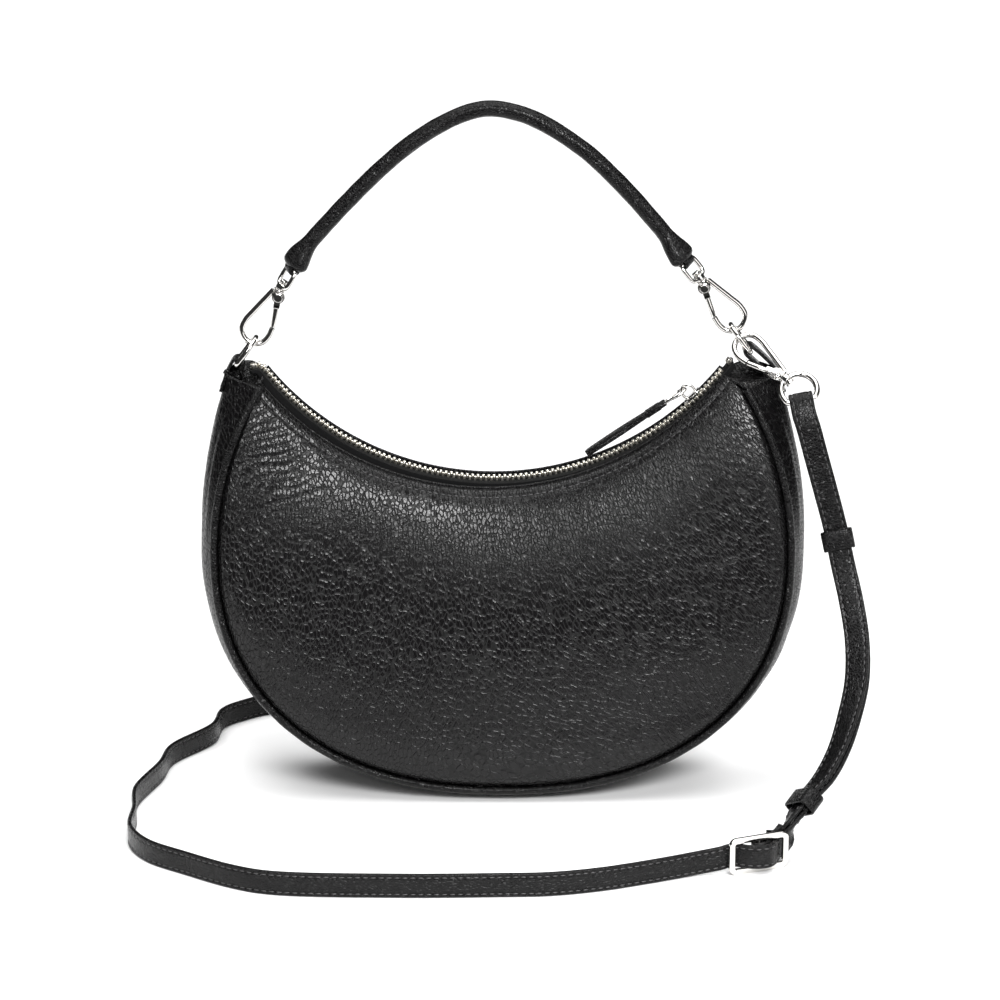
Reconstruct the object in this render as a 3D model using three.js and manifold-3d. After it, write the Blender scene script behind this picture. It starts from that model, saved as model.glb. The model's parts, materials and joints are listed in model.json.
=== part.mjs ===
// Half-moon shoulder bag in leather: two panels and a gusset, a curved metal zip, a rolled handle on two
// swivel snap hooks, and a flat adjustable strap that lies round the bag on the ground.
// Millimetres, +Z up, the front panel faces -Y, the origin is on the ground below the middle of the bag.
import * as THREE from "three";
import { mergeVertices } from "three/addons/utils/BufferGeometryUtils.js";
import { ParametricGeometry } from "three/addons/geometries/ParametricGeometry.js";
import Module from "manifold-3d";

const wasm = await Module();
wasm.setup();

// ---- Driving dimensions ----------------------------------------------------------------------------

const fitGap = 0.3;                 // between any two pieces that touch

// Body
const bodyHalfWidth = 140;          // middle of the gusset, at its widest
const widestHeight = 118;           // height of that widest place
const seamInset = 7.5;              // the seams lie this far inside the gusset's crown
const bottomHalfDepth = 32;         // seams from the middle plane, at the bottom
const cornerHalfDepth = 14;         // the same at the two upper corners
const panelBulge = 14;              // how far a stuffed panel swells between its edges
const leatherThickness = 2;
const liningThickness = 0.6;
const liningSlack = 3;              // the lining hangs this far off the base stiffener
const pocketThickness = 0.8;
const pocketSlack = 5;
const stiffenerThickness = 1;
const pipingRadius = 1.9;
const panelSeamGap = 1.5;           // from the piping to the edge of a panel
const lowerFullness = 2.25;         // 2 would be an ellipse, more is squarer
const seamCornerHeight = 193;
const crownEndHeight = 199;
const seamUpperReach = 138.5;       // vertical half axis of the seam line above its widest place
const crownUpperReach = 185;        // the same for the crown of the gusset

// Mouth and zip
const mouthShift = -4;              // the mouth sits a little to the left of the body
const mouthRadius = 133;
const mouthHeight = 148;            // lowest point of the zip
const mouthHalfDepth = 11;
const mouthCornerHalfDepth = 10;
const panelEdgeAngle = THREE.MathUtils.degToRad(52);
const zipEndAngle = THREE.MathUtils.degToRad(53.5);
const tapeEndAngle = THREE.MathUtils.degToRad(54.8);
const tapeThickness = 0.8;
const tapeFlange = 7;
const teethHalfHeight = 1.2;
const teethOuter = 2.7;
const teethInner = 0.8;
const sliderAngle = THREE.MathUtils.degToRad(44.2);
const sliderLength = 9;
const sliderHalfWidth = 3.9;
const sliderPlate = 1;
const bridgeRadius = 2.9;
const bridgeHeight = 5.4;
const bridgeWire = 0.65;
const linkLength = 13;
const linkHalfWidth = 3.2;
const linkWire = 0.6;
const pullerHeadWidth = 4;
const pullerHeadLength = 4;
const pullerLength = 44;
const pullerWidth = 5.4;
const pullerThickness = 2.8;
const pullerDrop = THREE.MathUtils.degToRad(34);

// D-rings and their leather tabs
const dRingHalfWidth = 7;
const dRingStraight = 7.5;
const dRingCorner = 0.4;
const dRingSideStart = 3;
const dRingWire = 1.25;
const tabWidth = 11;
const tabThickness = 1.8;
const gussetDrop = 6.2;             // the gusset falls away this much across the width of a tab
const dRingLean = { left: THREE.MathUtils.degToRad(53), right: THREE.MathUtils.degToRad(53) };
const dRingBarBack = { left: 4.0, right: 12.5 };    // bar inwards from the gusset's upper end
const dRingBarRise = { left: 3.75, right: 9.75 };   // bar above that end

// Snap hooks, in their own frame: bow centre at the origin, swivel axis up, gate on the right
const bowRadius = 6.5;
const hookWire = 1.3;
const rivetSide = 1.2;
const rivetHeight = 18.5;
const webRadius = 3;
const webThickness = 1.8;
const cheekRadius = 2.4;
const cheekThickness = 0.9;
const pinRadius = 0.8;
const pinHeadRadius = 2;
const pinHeadThickness = 0.7;
const shankRadius = 1.2;
const collarTop = 21.9;
const collarHeight = 0.6;
const bossHeight = 2.8;
const bossRadius = 2.5;
const knobRadius = 2.1;
const knobHeight = 1.6;
const gateTipHeight = 5.1;
const gateSpringRadius = 0.45;
const handleHookLean = { left: THREE.MathUtils.degToRad(31), right: THREE.MathUtils.degToRad(39) };

// Eyes of the snap hooks
const stirrupHalfWidth = 5.2;
const stirrupHeight = 10;
const stirrupWire = 1.1;
const stirrupTurn = THREE.MathUtils.degToRad(45);
const strapEyeRadius = 8.1;
const strapEyeFlat = 5;             // the straight side lies this far from the centre
const strapEyeWire = 1.4;

// Handle
const handleRise = 69;
const handleRadius = 3.7;
const handleWall = 1.3;
const handleEndHalfWidth = 7;
const handleEndHalfDepth = 4.6;
const handleFlareLength = 16;
const handleStraight = 8;           // the handle leaves its hooks in a straight line
const handleLoopThickness = 1;
const handleLoopReach = 8;          // how far its two plies go into the handle

// Strap
const strapWidth = 11;
const strapThickness = 2;
const strapStack = strapThickness / 2 + 0.3;    // either layer of the doubled stretch from its middle
const sewnEnd = 18;                 // the turned end beyond the far eye
const keeperLength = 9;
const keeperWall = 1.5;
const keeperGap = 0.5;
const keeperPlaces = { upper: 60, lower: 191 };     // along the doubled stretch, from the near eye
const buckleLength = 29;
const buckleHeight = strapWidth + 6;
const buckleBar = 2.7;
const buckleCentreBar = 2;
const buckleThickness = 2;
const buckleCornerRadius = 3;

// ---- Colours ---------------------------------------------------------------------------------------

const leather = { color: 0x151415, roughness: 0.45, metalness: 0 };
const smoothLeather = { color: 0x121113, roughness: 0.38, metalness: 0 };
const nickel = { color: 0xd4d2cf, roughness: 0.18, metalness: 1 };
const cloth = { color: 0x26262a, roughness: 0.85, metalness: 0 };
const board = { color: 0x8a7a62, roughness: 0.9, metalness: 0 };

// ---- Shape helpers ---------------------------------------------------------------------------------

const vec = (x, y, z) => new THREE.Vector3(x, y, z);
const lerp = THREE.MathUtils.lerp;

function toSolid(geometry) {
  const bare = geometry.clone();
  bare.deleteAttribute("normal");
  bare.deleteAttribute("uv");
  const merged = mergeVertices(bare, 1e-3);
  const corners = merged.attributes.position.array;
  const triangles = Uint32Array.from(merged.index.array);
  if (signedVolume(corners, triangles) < 0) {
    triangles.reverse();
  }
  const mesh = new wasm.Mesh({
    numProp: 3, vertProperties: Float32Array.from(corners), triVerts: triangles,
  });
  return new wasm.Manifold(mesh);
}

function signedVolume(corners, triangles) {
  const [a, b, c] = [vec(), vec(), vec()];
  let total = 0;
  for (let i = 0; i < triangles.length; i += 3) {
    a.fromArray(corners, 3 * triangles[i]);
    b.fromArray(corners, 3 * triangles[i + 1]);
    c.fromArray(corners, 3 * triangles[i + 2]);
    total += a.dot(b.cross(c));
  }
  return total / 6;
}

function toGeometry(solid) {
  const mesh = solid.getMesh();
  const geometry = new THREE.BufferGeometry();
  geometry.setAttribute("position", new THREE.BufferAttribute(Float32Array.from(mesh.vertProperties), 3));
  geometry.setIndex(new THREE.BufferAttribute(Uint32Array.from(mesh.triVerts), 1));
  geometry.computeVertexNormals();
  return geometry;
}

function union(...geometries) {
  return geometries.map(toSolid).reduce((whole, piece) => whole.add(piece));
}

function piece(name, shape, finish) {
  const solid = shape.getMesh ? shape : toSolid(shape);
  const mesh = new THREE.Mesh(toGeometry(solid), new THREE.MeshStandardMaterial(finish));
  mesh.name = name;
  return mesh;
}

// A closed sheet of even thickness under surface(u, v). The section runs down the outside and back up the
// inside, and one more row at either end of u closes it.
function sheet(surface, thickness, uSteps, vSteps, outset = 0) {
  const rows = uSteps + 2;
  const loop = 2 * (vSteps + 1);
  const step = 1e-3;
  const here = vec();
  const along = vec();
  const across = vec();
  const skin = (u, v, depth, target) => {
    surface(u, v, here);
    surface(Math.min(u + step, 1), v, along);
    surface(Math.max(u - step, 0), v, target);
    along.sub(target);
    surface(u, Math.min(v + step, 1), across);
    surface(u, Math.max(v - step, 0), target);
    across.sub(target);
    target.copy(here).addScaledVector(along.cross(across).normalize(), outset - depth);
  };
  return new ParametricGeometry((a, b, target) => {
    const row = Math.round(a * rows);
    const spot = Math.round(b * loop) % loop;
    const u = THREE.MathUtils.clamp((row - 1) / uSteps, 0, 1);
    const outside = spot <= vSteps;
    const v = (outside ? spot : loop - 1 - spot) / vSteps;
    const closing = row === 0 || row === rows;
    skin(u, v, closing ? thickness / 2 : outside ? 0 : thickness, target);
  }, rows, loop);
}

// The wall of a tube that is open at both ends: skin(u, turn, outside, target)
function openTube(skin, uSteps, sides) {
  const loop = 2 * (uSteps + 1);
  return new ParametricGeometry((a, b, target) => {
    const spot = Math.round(a * loop) % loop;
    const outside = spot <= uSteps;
    const u = (outside ? spot : loop - 1 - spot) / uSteps;
    skin(u, Math.round(b * sides) % sides, outside, target);
  }, loop, sides);
}

// A wire bent into a closed loop that lies in one plane
function wireLoop(centreline, planeNormal, radius, steps, sides) {
  const point = vec();
  const next = vec();
  return new ParametricGeometry((a, b, target) => {
    const t = (Math.round(a * steps) % steps) / steps;
    const turn = (Math.round(b * sides) % sides) * 2 * Math.PI / sides;
    centreline(t, point);
    centreline((t + 1e-3) % 1, next);
    centreline((t + 1 - 1e-3) % 1, target);
    next.sub(target).normalize().cross(planeNormal);
    target.copy(point).addScaledVector(next, radius * Math.cos(turn));
    target.addScaledVector(planeNormal, radius * Math.sin(turn));
  }, steps, sides);
}

// A loop between an ellipse (squareness 1) and a rectangle (squareness 0), about a centre on its second axis
function squareLoop(halfWidth, halfLength, squareness, middle, place) {
  return (t, target) => {
    const c = Math.cos(2 * Math.PI * t);
    const s = Math.sin(2 * Math.PI * t);
    const a = Math.sign(c) * halfWidth * Math.abs(c) ** squareness;
    const b = middle + Math.sign(s) * halfLength * Math.abs(s) ** squareness;
    return place(a, b, target);
  };
}

function wire(curve, radius, steps, sides) {
  const section = new THREE.Shape().absarc(0, 0, radius, 0, 2 * Math.PI);
  return new THREE.ExtrudeGeometry(section, {
    extrudePath: curve, steps, curveSegments: sides / 2, bevelEnabled: false,
  });
}

// A cylinder between two points
function post(from, to, radius, sides = 12) {
  const length = from.distanceTo(to);
  const cylinder = new THREE.CylinderGeometry(radius, radius, length, sides);
  const turn = new THREE.Quaternion().setFromUnitVectors(vec(0, 1, 0), to.clone().sub(from).normalize());
  cylinder.applyQuaternion(turn);
  const middle = from.clone().lerp(to, 0.5);
  return cylinder.translate(middle.x, middle.y, middle.z);
}

function block(low, high) {
  const box = new THREE.BoxGeometry(high.x - low.x, high.y - low.y, high.z - low.z);
  return box.translate((low.x + high.x) / 2, (low.y + high.y) / 2, (low.z + high.z) / 2);
}

// ---- Outlines of the body --------------------------------------------------------------------------

// A rim runs from the left corner (t = -1) under the bag (t = 0) to the right corner (t = 1).
function rim(t, shape, target) {
  const bottomAngle = -Math.PI / 2;
  const cornerAngle = Math.asin((shape.endHeight - widestHeight) / shape.upperReach);
  const angle = lerp(bottomAngle, cornerAngle, Math.abs(t));
  const power = angle < 0 ? 2 / lowerFullness : 1;
  const reach = angle < 0 ? widestHeight - shape.bottom : shape.upperReach;
  const x = shape.halfWidth * Math.cos(angle) ** power;
  const z = widestHeight + Math.sign(angle) * reach * Math.abs(Math.sin(angle)) ** power;
  return target.set(Math.sign(t) * x, 0, z);
}

const crownRim = {
  halfWidth: bodyHalfWidth, bottom: -1.5, upperReach: crownUpperReach, endHeight: crownEndHeight,
};
const seamRim = {
  halfWidth: bodyHalfWidth - seamInset, bottom: 5.5, upperReach: seamUpperReach, endHeight: seamCornerHeight,
};

// The seam line drawn in by a distance, square to itself
function seamWithin(t, distance, target) {
  const step = 1e-3;
  const along = rim(Math.min(t + step, 1), seamRim, vec());
  along.sub(rim(Math.max(t - step, -1), seamRim, vec())).normalize();
  rim(t, seamRim, target);
  return target.addScaledVector(vec(-along.z, 0, along.x), distance);
}

function seamHalfDepth(t) {
  return lerp(bottomHalfDepth, cornerHalfDepth, t ** 4);
}

const mouthCentre = vec(mouthShift, 0, mouthHeight + mouthRadius);

function onMouth(angle, radius, y, target = vec()) {
  return target.set(
    mouthCentre.x + radius * Math.sin(angle), y, mouthCentre.z - radius * Math.cos(angle));
}

// side is -1 on the front panel and 1 on the back one; s runs from the mouth to the seam
function panelPoint(t, s, side, target) {
  const edge = onMouth(t * panelEdgeAngle, mouthRadius, 0);
  seamWithin(t, pipingRadius + panelSeamGap, target).lerp(edge, 1 - s);
  const edgeDepth = lerp(mouthHalfDepth, mouthCornerHalfDepth, t ** 4);
  const swell = panelBulge * Math.sin(Math.PI * s) * (1 - Math.abs(t) ** 3);
  target.y = side * (lerp(edgeDepth, seamHalfDepth(t), s) + swell);
  return target;
}

function gussetPoint(t, v, target) {
  const across = 2 * v - 1;
  const crown = rim(t, crownRim, vec());
  rim(t, seamRim, target).lerp(crown, 1 - Math.abs(across) ** 3);
  target.y = across * (seamHalfDepth(t) - pipingRadius - fitGap);
  target.z = Math.max(target.z, 0);     // the bag stands flat on the ground
  return target;
}

// ---- Body ------------------------------------------------------------------------------------------

const bag = new THREE.Group();

function addPanels() {
  for (const [name, side] of [["front_panel", -1], ["back_panel", 1]]) {
    const surface = (u, v, target) => panelPoint(2 * u - 1, v, side, target);
    bag.add(piece(name, sheet(surface, side * leatherThickness, 20, 5), leather));
  }
}

function addGusset() {
  const surface = (u, v, target) => gussetPoint(2 * u - 1, v, target);
  bag.add(piece("gusset", sheet(surface, -leatherThickness, 30, 4), leather));
}

function addPiping() {
  for (const [name, side] of [["piping_front", -1], ["piping_back", 1]]) {
    const points = [];
    for (let i = 0; i <= 32; i++) {
      const t = i / 16 - 1;
      const point = rim(t, seamRim, vec());
      point.y = side * seamHalfDepth(t);
      points.push(point);
    }
    bag.add(piece(name, wire(new THREE.CatmullRomCurve3(points), pipingRadius, 36, 6), smoothLeather));
  }
}

// The inside pieces lie under the leather at a given depth
function insideSurface(t, v, target) {
  const top = lerp(0.1, 0.5, t ** 4);
  const down = [0, 1 / 3, 2 / 3, 1].map((share) => lerp(top, 0.88, share));
  const front = down.map((s) => panelPoint(t, s, -1, vec()));
  const floor = [0.1, 0.5, 0.9].map((across) => gussetPoint(t, across, vec()));
  const back = down.reverse().map((s) => panelPoint(t, s, 1, vec()));
  return new THREE.CatmullRomCurve3([...front, ...floor, ...back]).getPoint(v, target);
}

function addInside() {
  const stiffenerDepth = leatherThickness + fitGap;
  const liningDepth = stiffenerDepth + stiffenerThickness + liningSlack;
  const pouch = (u, v, target) => insideSurface(0.88 * (2 * u - 1), v, target);
  bag.add(piece("lining", sheet(pouch, -liningThickness, 16, 9, liningDepth), cloth));
  const pocketDepth = liningDepth + liningThickness + pocketSlack;
  const pocket = (u, v, target) => panelPoint(lerp(-0.3, 0.3, u), lerp(0.25, 0.8, v), 1, target);
  bag.add(piece("slip_pocket", sheet(pocket, pocketThickness, 6, 3, -pocketDepth), cloth));
  const stiffener = (u, v, target) => gussetPoint(lerp(-1, 1, u) / 3, lerp(0.25, 0.75, v), target);
  bag.add(piece("base_stiffener", sheet(stiffener, -stiffenerThickness, 10, 2, stiffenerDepth), board));
}

// ---- Zip -------------------------------------------------------------------------------------------

function addZipSides() {
  for (const [suffix, side] of [["front", -1], ["back", 1]]) {
    const tape = (u, v, target) => {
      const angle = lerp(-tapeEndAngle, tapeEndAngle, u);
      const outer = mouthHalfDepth - leatherThickness - fitGap - tapeThickness;
      const nearEnd = (angle / tapeEndAngle) ** 4;
      const narrowing = lerp(1, mouthCornerHalfDepth / mouthHalfDepth, nearEnd);
      const y = lerp(teethOuter - 0.3, outer, Math.min(2 * v, 1)) * narrowing;
      const sink = tapeFlange * Math.max(2 * v - 1, 0) * (1 - 0.8 * nearEnd);
      onMouth(angle, mouthRadius + teethHalfHeight + fitGap + sink, side * y, target);
    };
    bag.add(piece(`zip_tape_${suffix}`, sheet(tape, side * tapeThickness, 20, 2), cloth));
    const bead = new THREE.Shape();
    const startAngle = -Math.PI / 2 - zipEndAngle;
    const endAngle = -Math.PI / 2 + zipEndAngle;
    bead.absarc(0, 0, mouthRadius + teethHalfHeight, startAngle, endAngle);
    bead.absarc(0, 0, mouthRadius - teethHalfHeight, endAngle, startAngle, true);
    const rail = new THREE.ExtrudeGeometry(bead, {
      depth: teethOuter - teethInner, curveSegments: 14, bevelEnabled: false,
    });
    rail.rotateX(Math.PI / 2);
    rail.translate(mouthCentre.x, side < 0 ? -teethInner : teethOuter, mouthCentre.z);
    bag.add(piece(`zip_teeth_${suffix}`, rail, nickel));
  }
}

// A frame on the zip at one angle: x along the zip to the right, z towards the inside of its curve
function zipFrame(angle) {
  const group = new THREE.Group();
  group.position.copy(onMouth(angle, mouthRadius, 0));
  group.rotation.y = -angle;
  bag.add(group);
  return group;
}

function addZipStops() {
  const stopAngle = zipEndAngle + 1.9 / mouthRadius;
  for (const [name, angle] of [["zip_stop_left", -stopAngle], ["zip_stop_right", stopAngle]]) {
    const bar = block(vec(-1.2, -teethOuter, -1.1), vec(1.2, teethOuter, 1.3));
    zipFrame(angle).add(piece(name, bar, nickel));
  }
}

function addSlider() {
  const frame = zipFrame(sliderAngle);
  const reach = teethHalfHeight + fitGap;
  const half = sliderLength / 2;
  const top = block(vec(-half, -sliderHalfWidth, reach), vec(half, sliderHalfWidth, reach + sliderPlate));
  const low = reach + tapeThickness + 2 * fitGap;
  const below = block(vec(-half, -sliderHalfWidth, -low - sliderPlate), vec(half, sliderHalfWidth, -low));
  const neck = block(vec(half - 2.4, -0.5, -low - 0.5), vec(half - 0.4, 0.5, reach + 0.5));
  const bridgeBase = reach + sliderPlate;
  const arch = new THREE.CatmullRomCurve3([
    vec(-0.8 * bridgeRadius, 0, bridgeBase - 0.4),
    vec(-bridgeRadius, 0, bridgeBase + 0.4 * bridgeHeight),
    vec(-0.7 * bridgeRadius, 0, bridgeBase + 0.85 * bridgeHeight),
    vec(0, 0, bridgeBase + bridgeHeight),
    vec(0.7 * bridgeRadius, 0, bridgeBase + 0.85 * bridgeHeight),
    vec(bridgeRadius, 0, bridgeBase + 0.4 * bridgeHeight),
    vec(0.8 * bridgeRadius, 0, bridgeBase - 0.4),
  ]);
  frame.add(piece("zip_slider", union(top, below, neck, wire(arch, bridgeWire, 12, 6)), nickel));
}

// The link hangs in the slider's bridge, and the leather puller hangs on the link.
function addPuller() {
  const inBridge = bridgeHeight - bridgeWire - linkWire - fitGap;
  const hang = onMouth(sliderAngle, mouthRadius - teethHalfHeight - fitGap - sliderPlate - inBridge, 0);
  const group = new THREE.Group();
  group.position.copy(hang);
  group.rotation.y = Math.PI - pullerDrop;
  bag.add(group);
  const halfLength = linkLength / 2;
  const link = squareLoop(
    linkHalfWidth, halfLength, 0.45, halfLength, (y, x, target) => target.set(x, y, 0));
  group.add(piece("pull_link", wireLoop(link, vec(0, 0, 1), linkWire, 24, 6), nickel));
  const head = linkLength - linkWire - fitGap - 1.2;
  const shoulder = linkLength + linkWire + fitGap;
  const halfThickness = pullerThickness / 2;
  const neck = block(
    vec(head, -pullerHeadWidth / 2, -halfThickness),
    vec(shoulder + pullerHeadLength, pullerHeadWidth / 2, halfThickness));
  const body = block(
    vec(shoulder, -pullerWidth / 2, -halfThickness),
    vec(head + pullerLength, pullerWidth / 2, halfThickness));
  const eye = post(vec(linkLength, -pullerWidth, 0), vec(linkLength, pullerWidth, 0), linkWire + 0.35, 10);
  group.add(piece("zip_puller", union(neck, body).subtract(toSolid(eye)), smoothLeather));
}

// ---- D-rings and tabs ------------------------------------------------------------------------------

const sides = { left: -1, right: 1 };

function dRingFrame(side) {
  const sign = sides[side];
  const end = rim(sign, crownRim, vec());
  const bar = vec(end.x - sign * dRingBarBack[side], 0, end.z + dRingBarRise[side]);
  const lean = dRingLean[side];
  const reach = vec(-sign * Math.cos(lean), 0, Math.sin(lean));
  const apex = bar.clone().addScaledVector(reach, dRingStraight + dRingHalfWidth);
  return { sign, end, bar, reach, apex };
}

function addDRings() {
  for (const side of Object.keys(sides)) {
    const { bar, reach } = dRingFrame(side);
    const outline = [];
    for (const y of [-5, 0, 5]) {
      outline.push(vec(0, y, 0));
    }
    outline.push(vec(0, dRingHalfWidth - dRingCorner, dRingCorner));
    outline.push(vec(0, dRingHalfWidth, dRingSideStart));
    outline.push(vec(0, dRingHalfWidth, dRingStraight));
    for (let i = 1; i < 8; i++) {
      const angle = Math.PI * i / 8;
      outline.push(vec(
        0, dRingHalfWidth * Math.cos(angle), dRingStraight + dRingHalfWidth * Math.sin(angle)));
    }
    outline.push(vec(0, -dRingHalfWidth, dRingStraight));
    outline.push(vec(0, -dRingHalfWidth, dRingSideStart));
    outline.push(vec(0, -dRingHalfWidth + dRingCorner, dRingCorner));
    const curve = new THREE.CatmullRomCurve3(outline, true);
    const centreline = (t, target) => curve.getPoint(t, target);
    const ring = piece(`d_ring_${side}`, wireLoop(centreline, vec(1, 0, 0), dRingWire, 26, 6), nickel);
    ring.position.copy(bar);
    ring.quaternion.setFromUnitVectors(vec(0, 0, 1), reach);
    bag.add(ring);
  }
}

function crownX(height) {
  return bodyHalfWidth * Math.sqrt(1 - ((height - widestHeight) / crownUpperReach) ** 2);
}

// A strip of leather folded round the bar of the D-ring, with one leg outside the gusset and one inside
function addTabs() {
  const outsideStep = fitGap + tabThickness / 2 + 0.2;
  const insideStep = leatherThickness + fitGap + tabThickness / 2;
  const foldRadius = dRingWire + fitGap + tabThickness / 2;
  for (const side of Object.keys(sides)) {
    const { sign, end, bar } = dRingFrame(side);
    const legTop = end.z;
    const root = vec(end.x - sign * leatherThickness / 2, 0, legTop);
    const leg = bar.clone().sub(root).normalize();
    const outward = vec(sign * leg.z, 0, -sign * leg.x);
    const points = [
      vec(sign * (crownX(legTop - 12) + outsideStep), 0, legTop - 12),
      vec(sign * (crownX(legTop - 6) + outsideStep), 0, legTop - 6),
      vec(sign * (crownX(legTop) + outsideStep), 0, legTop),
    ];
    for (let i = 0; i <= 6; i++) {
      const angle = Math.PI * i / 6;
      const spot = bar.clone().addScaledVector(outward, foldRadius * Math.cos(angle));
      points.push(spot.addScaledVector(leg, foldRadius * Math.sin(angle)));
    }
    points.push(
      vec(sign * (crownX(legTop) - insideStep - 0.5 * gussetDrop), 0, legTop),
      vec(sign * (crownX(legTop - 6) - insideStep - gussetDrop), 0, legTop - 6));
    const path = new THREE.CatmullRomCurve3(points, false, "centripetal");
    const strip = (u, v, target) => {
      path.getPointAt(u, target);
      target.y = lerp(-tabWidth / 2, tabWidth / 2, v);
    };
    bag.add(piece(`ring_tab_${side}`, sheet(strip, tabThickness, 18, 1, tabThickness / 2), leather));
  }
}

// ---- Snap hooks ------------------------------------------------------------------------------------

const bossMiddle = collarTop + fitGap + bossHeight / 2;

function hookBody() {
  const arm = new THREE.CatmullRomCurve3([
    vec(-2.4, 0, 20.3),
    vec(-3.7, 0, 14.5),
    vec(-5.2, 0, 7.8),
    vec(-6.4, 0, 1.6),
    vec(-5.7, 0, -3.1),
    vec(-3.2, 0, -5.65),
    vec(0, 0, -bowRadius),
    vec(3.2, 0, -5.65),
    vec(5.7, 0, -3.1),
    vec(bowRadius, 0, 0.4),
    vec(6.1, 0, gateTipHeight - 0.5),
  ]);
  const halfWeb = webThickness / 2;
  const rivet = vec(rivetSide, 0, rivetHeight);
  const web = post(rivet.clone().setY(-halfWeb), rivet.clone().setY(halfWeb), webRadius);
  const neck = block(vec(-2.6, -halfWeb, rivetHeight), vec(2.2, halfWeb, collarTop - 0.8));
  const collar = post(vec(0, 0, collarTop - collarHeight), vec(0, 0, collarTop), 2.3, 10);
  const knobBase = bossMiddle + bossHeight / 2 + fitGap;
  const shank = post(vec(0, 0, collarTop - 0.5), vec(0, 0, knobBase + 0.5), shankRadius, 10);
  const knob = post(vec(0, 0, knobBase), vec(0, 0, knobBase + knobHeight), knobRadius, 10);
  const hole = post(rivet.clone().setY(-4), rivet.clone().setY(4), pinRadius + fitGap, 10);
  return union(wire(arm, hookWire, 16, 6), web, neck, collar, shank, knob).subtract(toSolid(hole));
}

function hookGate() {
  const rivet = vec(rivetSide, 0, rivetHeight);
  const tip = vec(6.0, 0, gateTipHeight);
  const down = tip.clone().sub(rivet).normalize();
  const at = (distance) => rivet.clone().addScaledVector(down, distance);
  const inner = webThickness / 2 + fitGap;
  const outer = inner + cheekThickness;
  const cheek = (sign) => post(
    rivet.clone().setY(sign * inner), rivet.clone().setY(sign * outer), cheekRadius);
  const bridgeStart = webRadius + fitGap;
  const bridge = block(vec(-1.5, -outer, -bridgeStart - 1.7), vec(1.5, outer, -bridgeStart));
  const cheekLeg = (sign) => block(
    vec(-1.5, sign < 0 ? -outer : inner, -bridgeStart - 0.5),
    vec(1.5, sign < 0 ? -inner : outer, 0));
  const lean = Math.atan2(down.x, -down.z);
  bridge.rotateY(-lean).translate(rivet.x, 0, rivet.z);
  const legs = [-1, 1].map((sign) => cheekLeg(sign).rotateY(-lean).translate(rivet.x, 0, rivet.z));
  const rod = post(at(bridgeStart + 0.5), tip, hookWire, 8);
  const bore = post(at(bridgeStart - 1), at(bridgeStart + 6.6), gateSpringRadius + fitGap, 8);
  const hole = post(rivet.clone().setY(-4), rivet.clone().setY(4), pinRadius + fitGap, 10);
  const solid = union(cheek(-1), cheek(1), bridge, ...legs, rod);
  const spring = post(at(bridgeStart + 0.1), at(bridgeStart + 6.2), gateSpringRadius, 6);
  return { gate: solid.subtract(toSolid(hole)).subtract(toSolid(bore)), spring };
}

function hookPin() {
  const cheekFace = webThickness / 2 + fitGap + cheekThickness;
  const rivet = (y) => vec(rivetSide, y, rivetHeight);
  const shaftEnd = cheekFace + fitGap + 0.3;
  const shaft = post(rivet(-shaftEnd), rivet(shaftEnd), pinRadius, 10);
  const heads = [-1, 1].map((sign) => post(
    rivet(sign * (cheekFace + fitGap)),
    rivet(sign * (cheekFace + fitGap + pinHeadThickness)),
    pinHeadRadius, 12));
  return union(shaft, ...heads);
}

function boredEye(loop) {
  const low = bossMiddle - bossHeight / 2;
  const boss = post(vec(0, 0, low), vec(0, 0, low + bossHeight), bossRadius, 10);
  const bore = post(vec(0, 0, low - 3), vec(0, 0, low + bossHeight + 3), shankRadius + fitGap, 10);
  return union(loop, boss).subtract(toSolid(bore));
}

// The eye of a handle hook is a tall stirrup, turned about the swivel.
function stirrup() {
  const middle = bossMiddle + stirrupHeight / 2;
  const loop = squareLoop(
    stirrupHalfWidth, stirrupHeight / 2, 0.5, middle, (x, z, target) => target.set(x, 0, z));
  return boredEye(wireLoop(loop, vec(0, 1, 0), stirrupWire, 24, 6));
}

// The eye of a strap hook is a round ring with one straight side for the strap.
function strapEye(flatTurn) {
  const middle = bossMiddle + strapEyeRadius;
  const loop = (t, target) => {
    const angle = 2 * Math.PI * t;
    const towardsFlat = Math.cos(angle - flatTurn);
    const reach = towardsFlat > strapEyeFlat / strapEyeRadius ? strapEyeFlat / towardsFlat : strapEyeRadius;
    return target.set(reach * Math.sin(angle), 0, middle + reach * Math.cos(angle));
  };
  return boredEye(wireLoop(loop, vec(0, 1, 0), strapEyeWire, 24, 6));
}

// axis runs from the bow to the swivel, gateSide from the solid arm to the gate
function hookAxes({ axis, gateSide }) {
  const w = axis.clone().normalize();
  const n = w.clone().cross(gateSide).normalize();
  const u = n.clone().cross(w);
  return { u, n, w };
}

function hookFrame(place) {
  const group = new THREE.Group();
  const { u, n, w } = hookAxes(place);
  group.quaternion.setFromRotationMatrix(new THREE.Matrix4().makeBasis(u, n, w));
  group.position.copy(place.centre);
  bag.add(group);
  return group;
}

function addHook(name, frame, eye, eyeTurn) {
  const { gate, spring } = hookGate();
  const eyePiece = piece(`${name}_eye`, eye, nickel);
  eyePiece.rotation.z = eyeTurn;
  frame.add(
    piece(`${name}_body`, hookBody(), nickel),
    piece(`${name}_gate`, gate, nickel),
    piece(`${name}_spring`, spring, nickel),
    piece(`${name}_pin`, hookPin(), nickel),
    eyePiece);
}

const ringToBow = bowRadius - hookWire - dRingWire - fitGap;

function handleHookPlace(side) {
  const { sign, apex } = dRingFrame(side);
  const lean = handleHookLean[side];
  const centre = apex.clone().add(vec(0, 0, ringToBow));
  const axis = vec(-sign * Math.sin(lean), 0, Math.cos(lean));
  const gateSide = vec(-sign * Math.cos(lean), 0, -Math.sin(lean));
  return { centre, axis, gateSide };
}

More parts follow.
